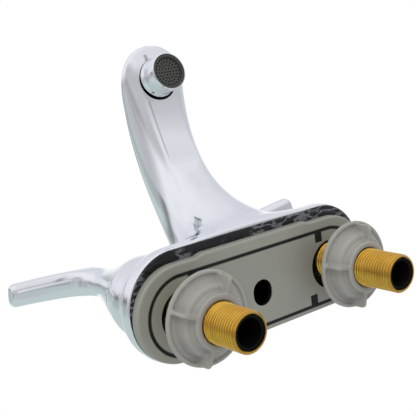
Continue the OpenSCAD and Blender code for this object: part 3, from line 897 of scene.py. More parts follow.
@dataclass(frozen=True)
class PlainMetal(Coating):
    """A plain bright metal, such as copper or steel."""

    roughness: float = 0.3
    patches: tuple[Patches, ...] = (Patches(120, 4, 0.38, 0.75, 1, 0.15),)
    relief: Triple = (900, 2, 0.01 * MM)
    metallic: float = 1.0


@dataclass(frozen=True)
class Ceramic(Coating):
    """Lapped white ceramic."""

    name: str = "ceramic"
    colour: Triple = (0.82, 0.80, 0.75)
    shade: Triple = (0.74, 0.72, 0.67)
    roughness: float = 0.18
    specks: Patches = Patches(800, 3, 0.45, 0.75)

    def sockets(self, s: Shader) -> Sockets:
        """Works out the surface.

        Args:
            s: The material's node tree.

        Returns:
            Values and signals for the shader's sockets, by name.
        """
        specks = self.specks.on(s)
        return {
            "Base Color": s.mix(specks, self.colour, self.shade),
            "Roughness": specks * 0.1 + self.roughness,
            "Normal": s.bump(specks, 0.004 * MM),
        }


@dataclass(frozen=True)
class PaleFloor(Coating):
    """The floor, which is lifted to white where the camera sees it."""

    name: str = "floor"
    colour: Triple = (0.93, 0.93, 0.93)
    shade: Triple = (0.96, 0.96, 0.96)
    roughness: float = 0.8
    lift: float = 0.16

    def sockets(self, s: Shader) -> Sockets:
        """Works out the surface.

        Args:
            s: The material's node tree.

        Returns:
            Values and signals for the shader's sockets, by name.
        """
        lift = s.signal("ShaderNodeLightPath", "Is Camera Ray") * self.lift
        return {
            "Base Color": s.mix(s.noise(3, 2), self.colour, self.shade),
            "Roughness": self.roughness,
            "Specular IOR Level": 0.1,
            "Emission Color": s.mix(lift, (0, 0, 0), (1, 1, 1)),
            "Emission Strength": 1.0,
        }


class Finish(Enum):
    """The finishes of the faucet's pieces and of the floor."""

    CHROME = Chrome()
    GREY_PLASTIC = PlatePlastic("grey_plastic", (0.268, 0.272, 0.238), (0.24, 0.245, 0.216))
    NUT_PLASTIC = MouldedPlastic("nut_plastic", (0.31, 0.306, 0.283), (0.27, 0.266, 0.245), 0.36)
    BLACK_RUBBER = Rubber("black_rubber")
    BLACK_SLEEVE = Rubber(
        "black_plastic", (0.003, 0.003, 0.003), (0.006, 0.006, 0.006), 0.6, gloss=0.1
    )
    # Painted shade for the gap under the shell's lip.
    PAINTED_GAP_SHADE = CreasedFoil()
    PLATED_RECESS = PlatedRecess()
    THREADED_BRASS = TurnedBrass("threaded_brass", (0.92, 0.54, 0.065), (0.78, 0.40, 0.04))
    CAST_BRASS = CastBrass("cast_brass", (0.45, 0.30, 0.12), (0.30, 0.19, 0.07))
    COPPER = PlainMetal("copper", (0.72, 0.36, 0.22), (0.50, 0.22, 0.13))
    CAST_ZINC = PlainMetal("cast_zinc", (0.10, 0.10, 0.105), (0.04, 0.04, 0.042), 0.5)
    CERAMIC = Ceramic()
    STEEL = PlainMetal("steel", (0.62, 0.62, 0.61), (0.48, 0.48, 0.48))
    AERATOR_PLASTIC = MouldedPlastic(
        "aerator_plastic", (0.048, 0.048, 0.042), (0.03, 0.03, 0.027), 0.38
    )
    HOT_MARKER = MouldedPlastic("hot_marker", (0.45, 0.03, 0.025), (0.36, 0.02, 0.02), 0.25)
    COLD_MARKER = MouldedPlastic("cold_marker", (0.03, 0.09, 0.40), (0.02, 0.07, 0.32), 0.25)
    FLOOR = PaleFloor()

    @cache
    def material(self) -> bpy.types.Material:
        """The finish's material, which is made once."""
        return self.value.material()

    def dress(self, piece: Object) -> Object:
        """Gives a piece this finish all over.

        Args:
            piece: The piece.

        Returns:
            The piece.
        """
        slots = piece.data.materials
        if not slots:
            slots.append(None)
        for number in range(len(slots)):
            slots[number] = self.material()
        return piece


# ---- the body ------------------------------------------------------------------------


def bezier(control: Array, t: Array) -> Array:
    """Points of a cubic curve.

    Args:
        control: Its four control points, one a row.
        t: Shares of the way, of any shape.

    Returns:
        Points, with one more axis than t.
    """
    t = np.asarray(t)[..., None]
    back = 1 - t
    near, far = control[0] * back + 3 * t * control[1], 3 * back * control[2] + t * control[3]
    return back**2 * near + t**2 * far


def bezier_course(control: Array, t: Array) -> Array:
    """Derivative of a cubic curve.

    Args:
        control: Its four control points, one a row.
        t: Shares of the way, of any shape.

    Returns:
        Vectors, with one more axis than t.
    """
    t = np.asarray(t)[..., None]
    back, legs = 1 - t, np.diff(control, axis=0)
    return 3 * (back**2 * legs[0] + 2 * back * t * legs[1] + t**2 * legs[2])


def cross(a: Array, b: Array) -> Array:
    """Cross product of vectors in a plane."""
    return a[..., 0] * b[..., 1] - a[..., 1] * b[..., 0]


def unit(vector: Array) -> Array:
    """The vector's direction."""
    return vector / np.linalg.norm(vector)


def side_view(at: Place) -> Array:
    """Points in the middle plane, (y, z) on the last axis, from coordinates x, y and z."""
    return np.stack(np.broadcast_arrays(*at[1:]), axis=-1)


@dataclass
class SpoutForm:
    """The spout, whose sections lie between a curve below and a curve above."""

    lip_height: float
    front: float
    rear: float
    reach: float = 112 * MM
    outlet_height: float = 76.5 * MM
    neck_half_width: float = 14 * MM
    tip_half_width: float = 20.5 * MM
    tip_thickness: float = 19.7 * MM
    tip_lean: float = math.radians(41)
    nose_length: float = 23.87 * MM
    nose_lift: float = 2.6 * MM
    squareness: float = 2.4
    root_half_width: float = 64.6 * MM
    root_flare: float = 3.3
    root_pinch: float = 4.6 * MM
    root_rise: float = 32 * MM
    leans: Point = (5.4 * MM, 11.3 * MM)
    under_pull: Point = (52.9 * MM, -10.2 * MM)
    over_pull: Point = (69.8 * MM, 16.3 * MM)
    foot_inset: Point = (0.3 * MM, 6.8 * MM)
    tip_offset: Point = (-1.6 * MM, -1.5 * MM)
    flat_share: float = 0.872
    flat_off: float = 1.25
    flat_root: Point = (0.66, 0.4)
    flat_nose: Point = (1.02, 1.3)
    flat_edge: float = 1.6 * MM
    guesses: int = 41
    rounds: int = 7
    longest_move: float = 0.15
    least_slope: float = 1e-7

    def __post_init__(self) -> None:
        """Works out the two curves, the last full section and the nose's course."""
        rise = self.lip_height + self.root_rise
        lean = np.array([math.sin(self.tip_lean), math.cos(self.tip_lean)])
        under_tip = np.array([-self.reach, self.outlet_height]) + self.tip_offset
        over_tip = under_tip + self.tip_thickness * lean
        self.under = np.array([
            [self.front + self.foot_inset[0], self.lip_height], [self.front - self.leans[0], rise],
            under_tip + self.under_pull, under_tip,
        ])
        self.over = np.array([
            [self.rear - self.foot_inset[1], self.lip_height], [self.rear - self.leans[1], rise],
            over_tip + self.over_pull, over_tip,
        ])
        half = (over_tip - under_tip) / 2
        over_leg, under_leg = self.over[3] - self.over[2], self.under[3] - self.under[2]
        ratio = float(cross(unit(over_leg), half) / cross(unit(under_leg), half))
        course = unit(over_leg) + ratio * unit(under_leg)
        taper = float((unit(over_leg) - ratio * unit(under_leg)) @ half) / float(half @ half)
        speed = np.linalg.norm(3 * (over_leg + under_leg) / 2)
        widening = 2 * (self.tip_half_width - self.neck_half_width) / speed
        self.tip_middle = (over_tip + under_tip) / 2
        self.tip_normal = np.array([-lean[1], lean[0]])
        self.course = unit(course)
        self.thick_growth = 0.5 + taper * self.nose_length / np.linalg.norm(course)
        self.wide_growth = 0.5 + widening * self.nose_length / self.tip_half_width

    def half_width(self, t: Array) -> Array:
        """Works out how wide the spout is.

        Args:
            t: Shares of its way.

        Returns:
            Half of its width there.
        """
        neck, tip, root = self.neck_half_width, self.tip_half_width, self.root_half_width
        return (
            neck + (tip - neck) * t**2 + (root - neck) * (1 - t) ** self.root_flare
            - self.root_pinch * (1 - t) ** 2 * t
        )

    def share(self, yz: Array) -> tuple[Array, Array]:
        """Finds the section that each point lies in.

        Args:
            yz: Points in the middle plane, on the last axis.

        Returns:
            Shares of the way, from 0 to 1, and how far each point is from its section.
        """
        t, nearest = np.zeros(yz.shape[:-1]), np.full(yz.shape[:-1], np.inf)
        for guess in np.linspace(0, 1, self.guesses):
            middle = (bezier(self.under, guess) + bezier(self.over, guess)) / 2
            away = ((yz - middle) ** 2).sum(-1)
            t = np.where(away < nearest, guess, t)
            nearest = np.minimum(away, nearest)
        for _ in range(self.rounds):
            under = bezier(self.under, t)
            span = bezier(self.over, t) - under
            under_course = bezier_course(self.under, t)
            turn = bezier_course(self.over, t) - under_course
            slope = cross(yz - under, turn) - cross(under_course, span)
            slope = np.where(np.abs(slope) < self.least_slope, self.least_slope, slope)
            move = cross(yz - under, span) / slope
            t = np.clip(t - np.clip(move, -self.longest_move, self.longest_move), 0, 1)
        under = bezier(self.under, t)
        span = bezier(self.over, t) - under
        return t, np.abs(cross(yz - under, span)) / np.linalg.norm(span, axis=-1)

    def distance(self, at: Place) -> Array:
        """Signed distances to the spout, near its surface.

        Args:
            at: Coordinates of the points.

        Returns:
            Signed distances.
        """
        yz = side_view(at)
        ahead = (yz - self.tip_middle) @ self.tip_normal
        in_nose = ahead > 0
        t, miss = self.share(yz)
        t = np.where(in_nose, 1, t)
        under, over = bezier(self.under, t), bezier(self.over, t)
        middle, span = (over + under) / 2, over - under
        thick = np.linalg.norm(span, axis=-1) / 2
        axis = span / (2 * thick[..., None])

        run = self.nose_length * float(self.course @ self.tip_normal)
        lift = self.nose_lift * float(self.tip_normal[1])
        s = (np.sqrt(run * run + 4 * lift * np.maximum(ahead, 0)) - run) / (2 * lift)
        bent = np.stack([0 * s, self.nose_lift * s * s], axis=-1)
        nose_middle = self.tip_middle + self.nose_length * s[..., None] * self.course + bent
        middle = np.where(in_nose[..., None], nose_middle, middle)
        thick = thick * (1 + self.thick_growth * s)
        wide = self.half_width(t) * (1 + self.wide_growth * s)
        across = ((yz - middle) * axis).sum(-1)

        inside, steep = squared_round(at[0], across, wide, thick, self.squareness)
        stray = np.where((t > 0.01) & ~in_nose, miss / thick, 0)
        steep_s = np.minimum(s * 4, 1) / self.nose_length
        body = (inside - 1 + s + stray**2) / np.sqrt(steep**2 + steep_s**2 + (0.3 / thick) ** 2)

        # The flat under the spout fades out towards the root and before the nose
        way = t + s
        fade = smooth_step(way, *self.flat_root) + smooth_step(way, *self.flat_nose)
        share = self.flat_share + (self.flat_off - self.flat_share) * np.clip(fade, 0, 1)
        return -smooth_union(-body, across + share * thick, self.flat_edge)


@dataclass(frozen=True)
class BodyCasting:
    """The one-piece cast shell with its base, two risers and the spout."""

    radius: float = 30 * MM
    forward: float = 1.27 * MM
    lip_height: float = 6 * MM
    skirt_height: float = 5 * MM
    crown_height: float = 26 * MM
    wall: float = 3 * MM
    riser_radius: float = 23.4 * MM
    riser_lean: float = 0.035
    end_squeeze: float = 1.045
    riser_height: float = 47 * MM
    shoulder_width: float = 9 * MM
    shoulder_height: float = 19 * MM
    riser_hole: float = 14.8 * MM
    riser_fillet: float = 7 * MM
    spout_fillet: float = 9 * MM
    lip_rounding: float = 1.6 * MM
    outlet_tilt: float = math.radians(15)
    recess_radius: float = 12.2 * MM
    recess_shift: float = 0.65 * MM
    recess_depth: float = 2.2 * MM
    thread_radius: float = 10.25 * MM
    thread_depth: float = 5.2 * MM
    water_radius: float = 5 * MM
    water_depth: float = 7.4 * MM
    cutter_reach: float = 20 * MM
    hollow_end: float = 0.8
    skin_step: float = 1.3 * MM
    hollow_step: float = 2.4 * MM

    @cached_property
    def spout(self) -> SpoutForm:
        """The spout on this body."""
        return SpoutForm(self.lip_height, -self.radius - self.forward, self.radius - self.forward)

    def base(self, at: Place) -> Array:
        """Signed distances to the base with its crowned back.

        Args:
            at: Coordinates of the points.

        Returns:
            Signed distances.
        """
        x, y, z = at
        past_end = np.maximum(np.abs(x) - HALF_SPAN, 0)
        away = np.hypot(past_end * self.end_squeeze, y + self.forward)
        skirt_top = self.lip_height + self.skirt_height
        return dome(away, z - skirt_top, self.radius, self.crown_height - skirt_top)

    def risers(self, at: Place) -> Array:
        """Signed distances to the two risers.

        Args:
            at: Coordinates of the points.

        Returns:
            Signed distances.
        """
        x, y, z = at
        away = np.hypot(np.abs(x) - HALF_SPAN, y + self.riser_lean * (z - self.lip_height))
        beyond = away - (self.riser_radius - self.shoulder_width)
        above = z - (self.riser_height - self.shoulder_height)
        return dome(beyond, above, self.shoulder_width, self.shoulder_height)

    def solid(self, at: Place) -> Array:
        """Signed distances to base, risers and spout, before the lip is cut."""
        lower = smooth_union(self.base(at), self.risers(at), self.riser_fillet)
        return smooth_union(lower, self.spout.distance(at), self.spout_fillet)

    def skin(self, at: Place) -> Array:
        """Signed distances to the outside, down to the rounded lip."""
        return round_cut(self.solid(at), self.lip_height - at[2], self.lip_rounding)

    def hollow(self, at: Place) -> Array:
        """Signed distances to the room inside the shell, with the holes of the risers.

        Args:
            at: Coordinates of the points.

        Returns:
            Signed distances.
        """
        x, y, z = at
        end = (self.spout.share(side_view(at))[0] - self.hollow_end) * self.spout.reach
        inside = np.maximum(self.solid(at) + self.wall, end)
        hole = np.hypot(np.abs(x) - HALF_SPAN, y) - self.riser_hole
        return np.minimum(inside, np.maximum(hole, np.abs(z - self.riser_height) - 2 * self.wall))

    def outlet_place(self) -> Matrix:
        """The place of the outlet, with z into the spout."""
        place = Matrix.Translation((0, -self.spout.reach, self.spout.outlet_height))
        return place @ Matrix.Rotation(-self.outlet_tilt, 4, "X")

    def outlet_cutter(self) -> Object:
        """Makes the recess, thread and water way at the outlet.

        Returns:
            A solid to take away.
        """
        cutter = lathe("outlet_cutter", [
            (0, -self.cutter_reach), (self.recess_radius, -self.cutter_reach),
            (self.recess_radius, self.recess_depth), (self.thread_radius, self.recess_depth),
            (self.thread_radius, self.thread_depth), (self.water_radius, self.thread_depth),
            (self.water_radius, self.water_depth), (0, self.water_depth),
        ])
        for vertex in cutter.data.vertices:
            if vertex.co.xy.length > (self.recess_radius + self.thread_radius) / 2:
                vertex.co.y += self.recess_shift
        cutter.data.transform(self.outlet_place())
        return cutter

    def build(self) -> Object:
        """Makes the shell and puts it in the place of the plain one.

        Returns:
            The shell.
        """
        low, high = (np.array(corner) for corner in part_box("body_shell"))
        low, high = low - 2 * self.skin_step, high + 2 * self.skin_step
        shell = cast("faucet_shell", self.skin, low, high, self.skin_step)
        low[2] = self.lip_height - 4 * self.hollow_step
        hollow = cast("hollow_cutter", self.hollow, low, high, self.hollow_step)
        close_below(hollow, low[2] + self.hollow_step)
        outlet = self.outlet_cutter()
        Finish.CHROME.dress(shell)
        Finish.CAST_ZINC.dress(hollow)
        Finish.PLATED_RECESS.dress(outlet)
        subtract(shell, [hollow, outlet])
        shade_by_field(shell, self.skin)
        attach(shell, "faucet_body")
        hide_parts("body_shell")
        return shell


@dataclass(frozen=True)
class OutletCollar:
    """The flared foot of the aerator's sleeve, in the recess of the spout."""

    body: BodyCasting
    sleeve_radius: float = 10.7 * MM
    foot_radius: float = 11.55 * MM
    foot_height: float = 1.6 * MM
    flare_height: float = 7 * MM
    inside: float = 2 * MM
    rounding: float = 0.5 * MM
    rings: int = 8

    def outline(self) -> list[Point]:
        """Works out its section.

        Returns:
            Points (r, z) round it, with z into the spout.
        """
        share = np.arange(self.rings) / self.rings
        radii = self.foot_radius - (self.foot_radius - self.sleeve_radius) * (1 - (1 - share) ** 2)
        heights = self.foot_height + share * (self.flare_height - self.foot_height)
        return [
            (self.sleeve_radius, -self.flare_height), (self.sleeve_radius, self.inside),
            (self.foot_radius, self.inside), (self.foot_radius, self.rounding - self.foot_height),
            *zip(radii, -heights),
        ][::-1]

    def build(self) -> Object:
        """Makes the foot.

        Returns:
            The foot.
        """
        foot = lathe("aerator_foot", self.outline())
        foot.data.transform(self.body.outlet_place())
        foot.data.set_sharp_from_angle(angle=SMOOTH_ANGLE)
        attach(foot, "faucet_body")
        return Finish.CHROME.dress(foot)


@dataclass(frozen=True)
class RimGasket:
    """The creased ring between the shell's lip and the plate, black as painted shade for the
    shaded gap there.
    """

    body: BodyCasting
    inset: float = 0.5 * MM
    plate_half_span: float = 52.8 * MM
    plate_radius: float = 25.82 * MM
    plate_back: float = 1.2 * MM
    bulge: float = 1.2 * MM
    bulge_half_span: float = 33.4 * MM
    bulge_corner: float = 12 * MM
    thickness: float = 1.4 * MM
    rounding: float = 0.35 * MM
    crease: float = 0.22 * MM
    creases: int = 9
    crease_counts: tuple[int, int] = (40, 170)
    seed: int = 7
    sharp_angle: float = math.radians(50)
    end_points: int = 160
    side_points: int = 110

    def stadium(self, half_span: float, reach: float, radius: float) -> Array:
        """Points round a long form with round ends.

        Args:
            half_span: Half of the distance between the middles of its ends.
            reach: How far each end reaches beyond its middle.
            radius: Half of its width.

        Returns:
            Points (x, y), one a row, anticlockwise from its front.
        """
        turn = np.linspace(-math.pi / 2, math.pi / 2, self.end_points)
        end = np.stack([half_span + reach * np.cos(turn), radius * np.sin(turn)], axis=1)
        along = np.linspace(half_span, -half_span, self.side_points)[1:-1]
        half = np.concatenate([end, np.stack([along, np.full(len(along), radius)], axis=1)])
        return np.concatenate([half, -half])

    def outer(self, inset: float) -> Array:
        """Points at a distance inside the shell's lip."""
        body, reach = self.body, self.body.radius / self.body.end_squeeze - inset
        return self.stadium(HALF_SPAN, reach, body.radius - inset) - (0, body.forward)

    def inner(self) -> Array:
        """Works out the line round the plate, with the bulge at its front.

        Returns:
            Points (x, y), one a row.
        """
        radius, corner = self.plate_radius, self.bulge_corner
        points = self.stadium(self.plate_half_span, radius, radius) + (0, self.plate_back)
        past = np.maximum(np.abs(points[:, 0]) - self.bulge_half_span, 0)
        round_end = corner - np.sqrt(np.maximum(corner**2 - past**2, 0))
        front = self.plate_back - radius - self.bulge + round_end
        in_bulge = (points[:, 1] < 0) & (past < corner)
        points[in_bulge, 1] = np.minimum(points[in_bulge, 1], front[in_bulge])
        return points

    def build(self) -> Object:
        """Makes the ring and puts it in the place of the plain one.

        Returns:
            The ring.
        """
        chance = np.random.default_rng(self.seed)
        outer, inner = self.outer(self.inset), self.inner()
        way = np.arange(len(outer)) / len(outer) * 2 * math.pi
        folds = sum(
            np.sin(way * n + chance.uniform(0, 7))
            for n in chance.integers(*self.crease_counts, self.creases)
        ) / self.creases
        pushed = self.crease * (0.5 + 0.5 * folds)[:, None]
        inward = self.outer(self.inset + 1 * MM) - outer
        inward /= np.linalg.norm(inward, axis=1, keepdims=True)
        top, low = self.body.lip_height, self.body.lip_height - self.thickness
        loops = [
            (outer + inward * pushed, top), (outer + inward * pushed, low + self.rounding),
            (outer + inward * (pushed + self.rounding), low), (inner, low), (inner, top),
        ]
        vertices = [np.pad(points, ((0, 0), (0, 1)), constant_values=z) for points, z in loops]
        quads = np.roll(band(len(loops), len(outer)), 1, axis=1)
        shade_ring = mesh_object("gap_shade_ring", np.concatenate(vertices), quads)
        shade_ring.data.set_sharp_from_angle(angle=self.sharp_angle)
        # Its black finish is painted shade for the gap under the shell's lip.
        Finish.PAINTED_GAP_SHADE.dress(shade_ring)
        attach(shade_ring, "faucet_body")
        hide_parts("rim_gasket")
        return shade_ring


# ---- the levers ----------------------------------------------------------------------


@dataclass(frozen=True)
class LeverCasting:
    """A lever: a conical hub with a round neck, and an arm that springs from its top."""

    side: Side
    park: float
    length: float = 54 * MM
    tip_width: float = 12.8 * MM
    tip_thickness: float = 9.6 * MM
    root_width: float = 16 * MM
    root_thickness: float = 11.4 * MM
    arm_height: float = 95.8 * MM
    crest: float = 22 * MM
    bow: float = 3.7
    squareness: float = 2.5
    end_rounding: float = 3.2 * MM
    root_drop: float = 7 * MM
    root_drop_length: float = 11 * MM
    root_drop_power: float = 2.5
    foot: float = 48 * MM
    foot_rounding: float = 0.6 * MM
    skirt_radius: float = 18.2 * MM
    hub_radius: float = 8.6 * MM
    neck_length: float = 23.4 * MM
    hub_taper: float = 1.0 * MM
    ease_width: float = 3.4 * MM
    dome_width: float = 4.4 * MM
    dome_height: float = 5 * MM
    wall: float = 1.5 * MM
    hollow_top: float = 56.7 * MM
    hollow_taper: float = 2.5 * MM
    cap_radius: float = 5.02 * MM
    cap_seat: float = 1.6 * MM
    overcut: Point = (1 * MM, 5 * MM)
    fillet: float = 5 * MM
    crest_fillet: float = 1.2 * MM
    head_room: float = 8 * MM
    step: float = 1.0 * MM

    @property
    def top(self) -> float:
        """Height of the hub's top."""
        return self.arm_height - self.bow * self.crest**2 + self.root_thickness / 2

    @property
    def turn(self) -> float:
        """Direction of the arm, anticlockwise from +X."""
        return -self.park if self.side is Side.COLD else math.pi + self.park

    def hub(self, at: Place) -> Array:
        """Signed distances to the hub.

        Args:
            at: Coordinates of the points.

        Returns:
            Signed distances.
        """
        x, y, z = at
        shoulder, waist = self.top - self.dome_height, self.top - self.neck_length
        fall, down = waist - self.foot, waist - z
        spread = (fall + math.hypot(fall, self.ease_width)) / 2
        slope = (self.skirt_radius - self.hub_radius) / spread
        radius = self.hub_radius + slope * (down + np.hypot(down, self.ease_width)) / 2
        radius = radius - self.hub_taper * smooth_step(z, waist, shoulder)
        beyond = np.hypot(x, y) - (radius - self.dome_width)
        side = dome(beyond, z - shoulder, self.dome_width, self.dome_height)
        return round_cut(side / math.hypot(1, slope), self.foot - z, self.foot_rounding)

    def arm(self, at: Place) -> Array:
        """Signed distances to the arm, which runs along +X.

        Args:
            at: Coordinates of the points.

        Returns:
            Signed distances.
        """
        x, y, z = at
        share = np.clip(x / self.length, 0, 1)
        wide = (self.root_width + (self.tip_width - self.root_width) * share) / 2
        thick = (self.root_thickness + (self.tip_thickness - self.root_thickness) * share) / 2
        up = z - (self.arm_height - self.bow * (x - self.crest) ** 2)
        near = np.clip(1 - (x - self.hub_radius) / self.root_drop_length, 0, 1)
        deep = thick + self.root_drop * near**self.root_drop_power
        level, steep = squared_round(y, up, wide, np.where(up < 0, deep, thick), self.squareness)
        side = (level - 1) / np.maximum(steep, LEAST_RISE / wide)
        return np.maximum(round_cut(side, x - self.length, self.end_rounding), -x)

    def skin(self, at: Place) -> Array:
        """Signed distances to the lever about its own axis, with the arm along +X.

        Args:
            at: Coordinates of the points.

        Returns:
            Signed distances.
        """
        above = smooth_step(at[2], self.arm_height - self.root_thickness, self.arm_height)
        width = self.fillet + (self.crest_fillet - self.fillet) * above
        return smooth_union(self.hub(at), self.arm(at), width)

    def cutters(self) -> list[Object]:
        """Makes the room under the skirt and the seat of the index cap.

        Returns:
            Solids to take away.
        """
        low, high = self.foot - self.overcut[0], self.top + self.overcut[1]
        inner, seat = self.skirt_radius - self.wall, self.top - self.cap_seat
        return [
            lathe("skirt_cutter", [
                (0, low), (inner, low), (inner, self.foot),
                (inner - self.hollow_taper, self.hollow_top), (0, self.hollow_top),
            ]),
            lathe("cap_cutter", [
                (0, seat), (self.cap_radius, seat), (self.cap_radius, high), (0, high),
            ]),
        ]

    def build(self) -> Object:
        """Makes the lever and puts it in the place of the plain one.

        Returns:
            The lever.
        """
        label = self.side.label
        low = np.array([-self.skirt_radius, -self.skirt_radius, self.foot]) - 2 * self.step
        high = np.array([self.length, self.skirt_radius, self.arm_height + self.head_room])
        high = high + 2 * self.step
        lever = cast(f"{label}_lever_casting", self.skin, low, high, self.step)
        subtract(lever, self.cutters())
        shade_by_field(lever, self.skin)
        move_shaded(lever, self.side.axis @ Matrix.Rotation(self.turn, 4, "Z"))
        Finish.CHROME.dress(lever)
        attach(lever, f"{label}_valve")
        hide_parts(f"{label}_lever")
        return lever


# ---- shanks and nuts -----------------------------------------------------------------


@dataclass(frozen=True)
class ThreadedShank:
    """A brass inlet shank with a real thread."""

    side: Side
    radius: float = 10.45 * MM
    inlet_radius: float = 10.23 * MM
    inlet_length: float = 18 * MM
    inlet_run: float = 1 * MM
    bore_radius: float = 8.7 * MM
    bore_chamfer: float = 0.25 * MM
    drop: float = 53 * MM
    top: float = 10.5 * MM
    thread_end: float = 2 * MM
    chamfer: float = 0.9 * MM
    pitch: float = 1.814 * MM
    depth: float = 0.62 * MM
    crest_share: float = 0.16
    flank_share: float = 0.68
    first_depth: float = 0.35
    rows_a_turn: int = 10
    sides: int = 72
    sharp_angle: float = math.radians(40)

    def thread(self, z: float, angle: Array) -> Array:
        """Works out the thread's radius at one height.

        Args:
            z: The height.
            angle: Angles round the axis.

        Returns:
            One radius for each angle.
        """
        phase = (z / self.pitch + angle / (2 * math.pi)) % 1
        form = np.clip((np.abs(2 * phase - 1) - self.crest_share) / self.flank_share, 0, 1)
        grip = smooth_step(z, -self.drop, -self.drop + self.pitch)
        fade = smooth_step(z, self.thread_end, self.thread_end - 2 * self.pitch)
        inlet_top = self.inlet_length - self.drop
        widened = smooth_step(z, inlet_top - self.inlet_run, inlet_top + self.inlet_run)
        body = self.inlet_radius + (self.radius - self.inlet_radius) * widened
        return body - self.depth * form * fade * (self.first_depth + (1 - self.first_depth) * grip)

    def build(self) -> Object:
        """Makes the shank and puts it in the place of the plain one.

        Returns:
            The shank.
        """
        label, end, step = self.side.label, -self.drop, self.pitch / self.rows_a_turn
        angles = np.linspace(0, 2 * math.pi, self.sides, endpoint=False)
        heights = np.arange(end + self.chamfer, self.thread_end + step, step)[::-1]
        rings = [
            (self.radius, self.top), *((self.thread(z, angles), z) for z in heights),
            (self.inlet_radius - self.chamfer, end), (self.bore_radius + self.bore_chamfer, end),
            (self.bore_radius, end + self.bore_chamfer), (self.bore_radius, self.top),
        ]
        vertices = np.concatenate([
            np.stack(np.broadcast_arrays(r * np.cos(angles), r * np.sin(angles), z), axis=1)
            for r, z in rings
        ])
        shank = mesh_object(f"{label}_threaded_shank", vertices, band(len(rings), self.sides))
        shank.data.transform(self.side.axis)
        shank.data.set_sharp_from_angle(angle=self.sharp_angle)
        Finish.THREADED_BRASS.dress(shank)
        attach(shank, "faucet_body")
        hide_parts(f"{label}_shank")
        return shank


@dataclass(frozen=True)
class MountingNut:
    """A moulded nut with a wide flange, a stepped cone, a collar and four wings."""

    side: Side
    grip: float
    turn: float
    bore: float = 10.5 * MM
    flange_radius: float = 24.05 * MM
    flange: float = 2 * MM
    flange_edge: float = 0.7 * MM
    dish: tuple[Point, ...] = ((1.8 * MM, 0), (2.5 * MM, 0.9 * MM))
    cone: tuple[Point, ...] = (
        (5.2 * MM, 0.8 * MM), (4.3 * MM, -1.4 * MM), (3.4 * MM, -4.4 * MM), (2.4 * MM, -5.4 * MM),
        (0.3 * MM, -5.7 * MM), (-0.3 * MM, -6.3 * MM),
    )
    height: float = 11.8 * MM
    collar: float = 14.3 * MM
    collar_draft: float = 0.3 * MM
    collar_edge: Point = (0.6 * MM, 0.7 * MM)
    bore_edge: float = 0.9 * MM
    wing_reach: float = 22.7 * MM
    wing_thickness: float = 1.9 * MM
    wing_corner: float = 2.4 * MM
    wing_lift: float = 0.4 * MM
    wing_root: float = 1 * MM
    wings: int = 4
    fillet: float = 1.4 * MM
    step: float = 0.42 * MM

    def outline(self) -> list[Point]:
        """Works out the nut's half outline, hanging down from its flange.

        Returns:
            Points (r, z), in order.
        """
        rim, low, foot, edge = self.flange_radius, -self.flange, -self.height, self.flange_edge
        neck = self.collar - self.collar_draft
        return [
            (self.bore, 0), (rim, 0), (rim, low + edge), (rim - edge, low),
            *((rim - inward, low + up) for inward, up in self.dish),
            *((self.collar + out, low + up) for out, up in self.cone),
            (neck, foot + self.collar_edge[1]), (neck - self.collar_edge[0], foot),
            (self.bore + self.bore_edge, foot), (self.bore, foot + self.bore_edge),
        ]

    def distance(self, at: Place) -> Array:
        """Signed distances to the nut about its own axis, flange up.

        Args:
            at: Coordinates of the points.

        Returns:
            Signed distances.
        """
        x, y, z = at
        away, angle, part = np.hypot(x, y), np.arctan2(y, x), 2 * math.pi / self.wings
        nearest = angle - part * np.round(angle / part)
        along, across = away * np.cos(nearest), away * np.sin(nearest)
        beyond = np.maximum(along - (self.wing_reach - self.wing_corner), 0)
        below = np.maximum(self.wing_lift - self.height + self.wing_corner - z, 0)
        wing = np.hypot(beyond, below) - self.wing_corner
        wing = np.maximum(wing, np.abs(across) - self.wing_thickness / 2)
        root = self.collar - self.wing_root - along
        wing = np.maximum(wing, np.maximum(root, z + self.flange / 2))
        turned = outline_distance(self.outline(), away, z)
        return np.maximum(smooth_union(turned, wing, self.fillet), self.bore - away)

    def build(self) -> Object:
        """Makes the nut and puts it in the place of the plain one.

        Returns:
            The nut.
        """
        label, room = self.side.label, 3 * self.step
        reach = self.flange_radius + room
        low = np.array([-reach, -reach, -self.height - room])
        high = np.array([reach, reach, room])
        nut = cast(f"{label}_nut_moulding", self.distance, low, high, self.step, rounds=0)
        place = self.side.axis @ Matrix.Translation((0, 0, -self.grip))
        nut.data.transform(place @ Matrix.Rotation(self.turn, 4, "Z"))
        relax = nut.modifiers.new("relax", "SMOOTH")
        relax.factor, relax.iterations = 0.5, 1
        Finish.NUT_PLASTIC.dress(nut)
        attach(nut, f"{label}_nut")
        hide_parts(f"{label}_mounting_nut")
        return nut


# ---- pieces that keep the construction's own solids ------------------------------------


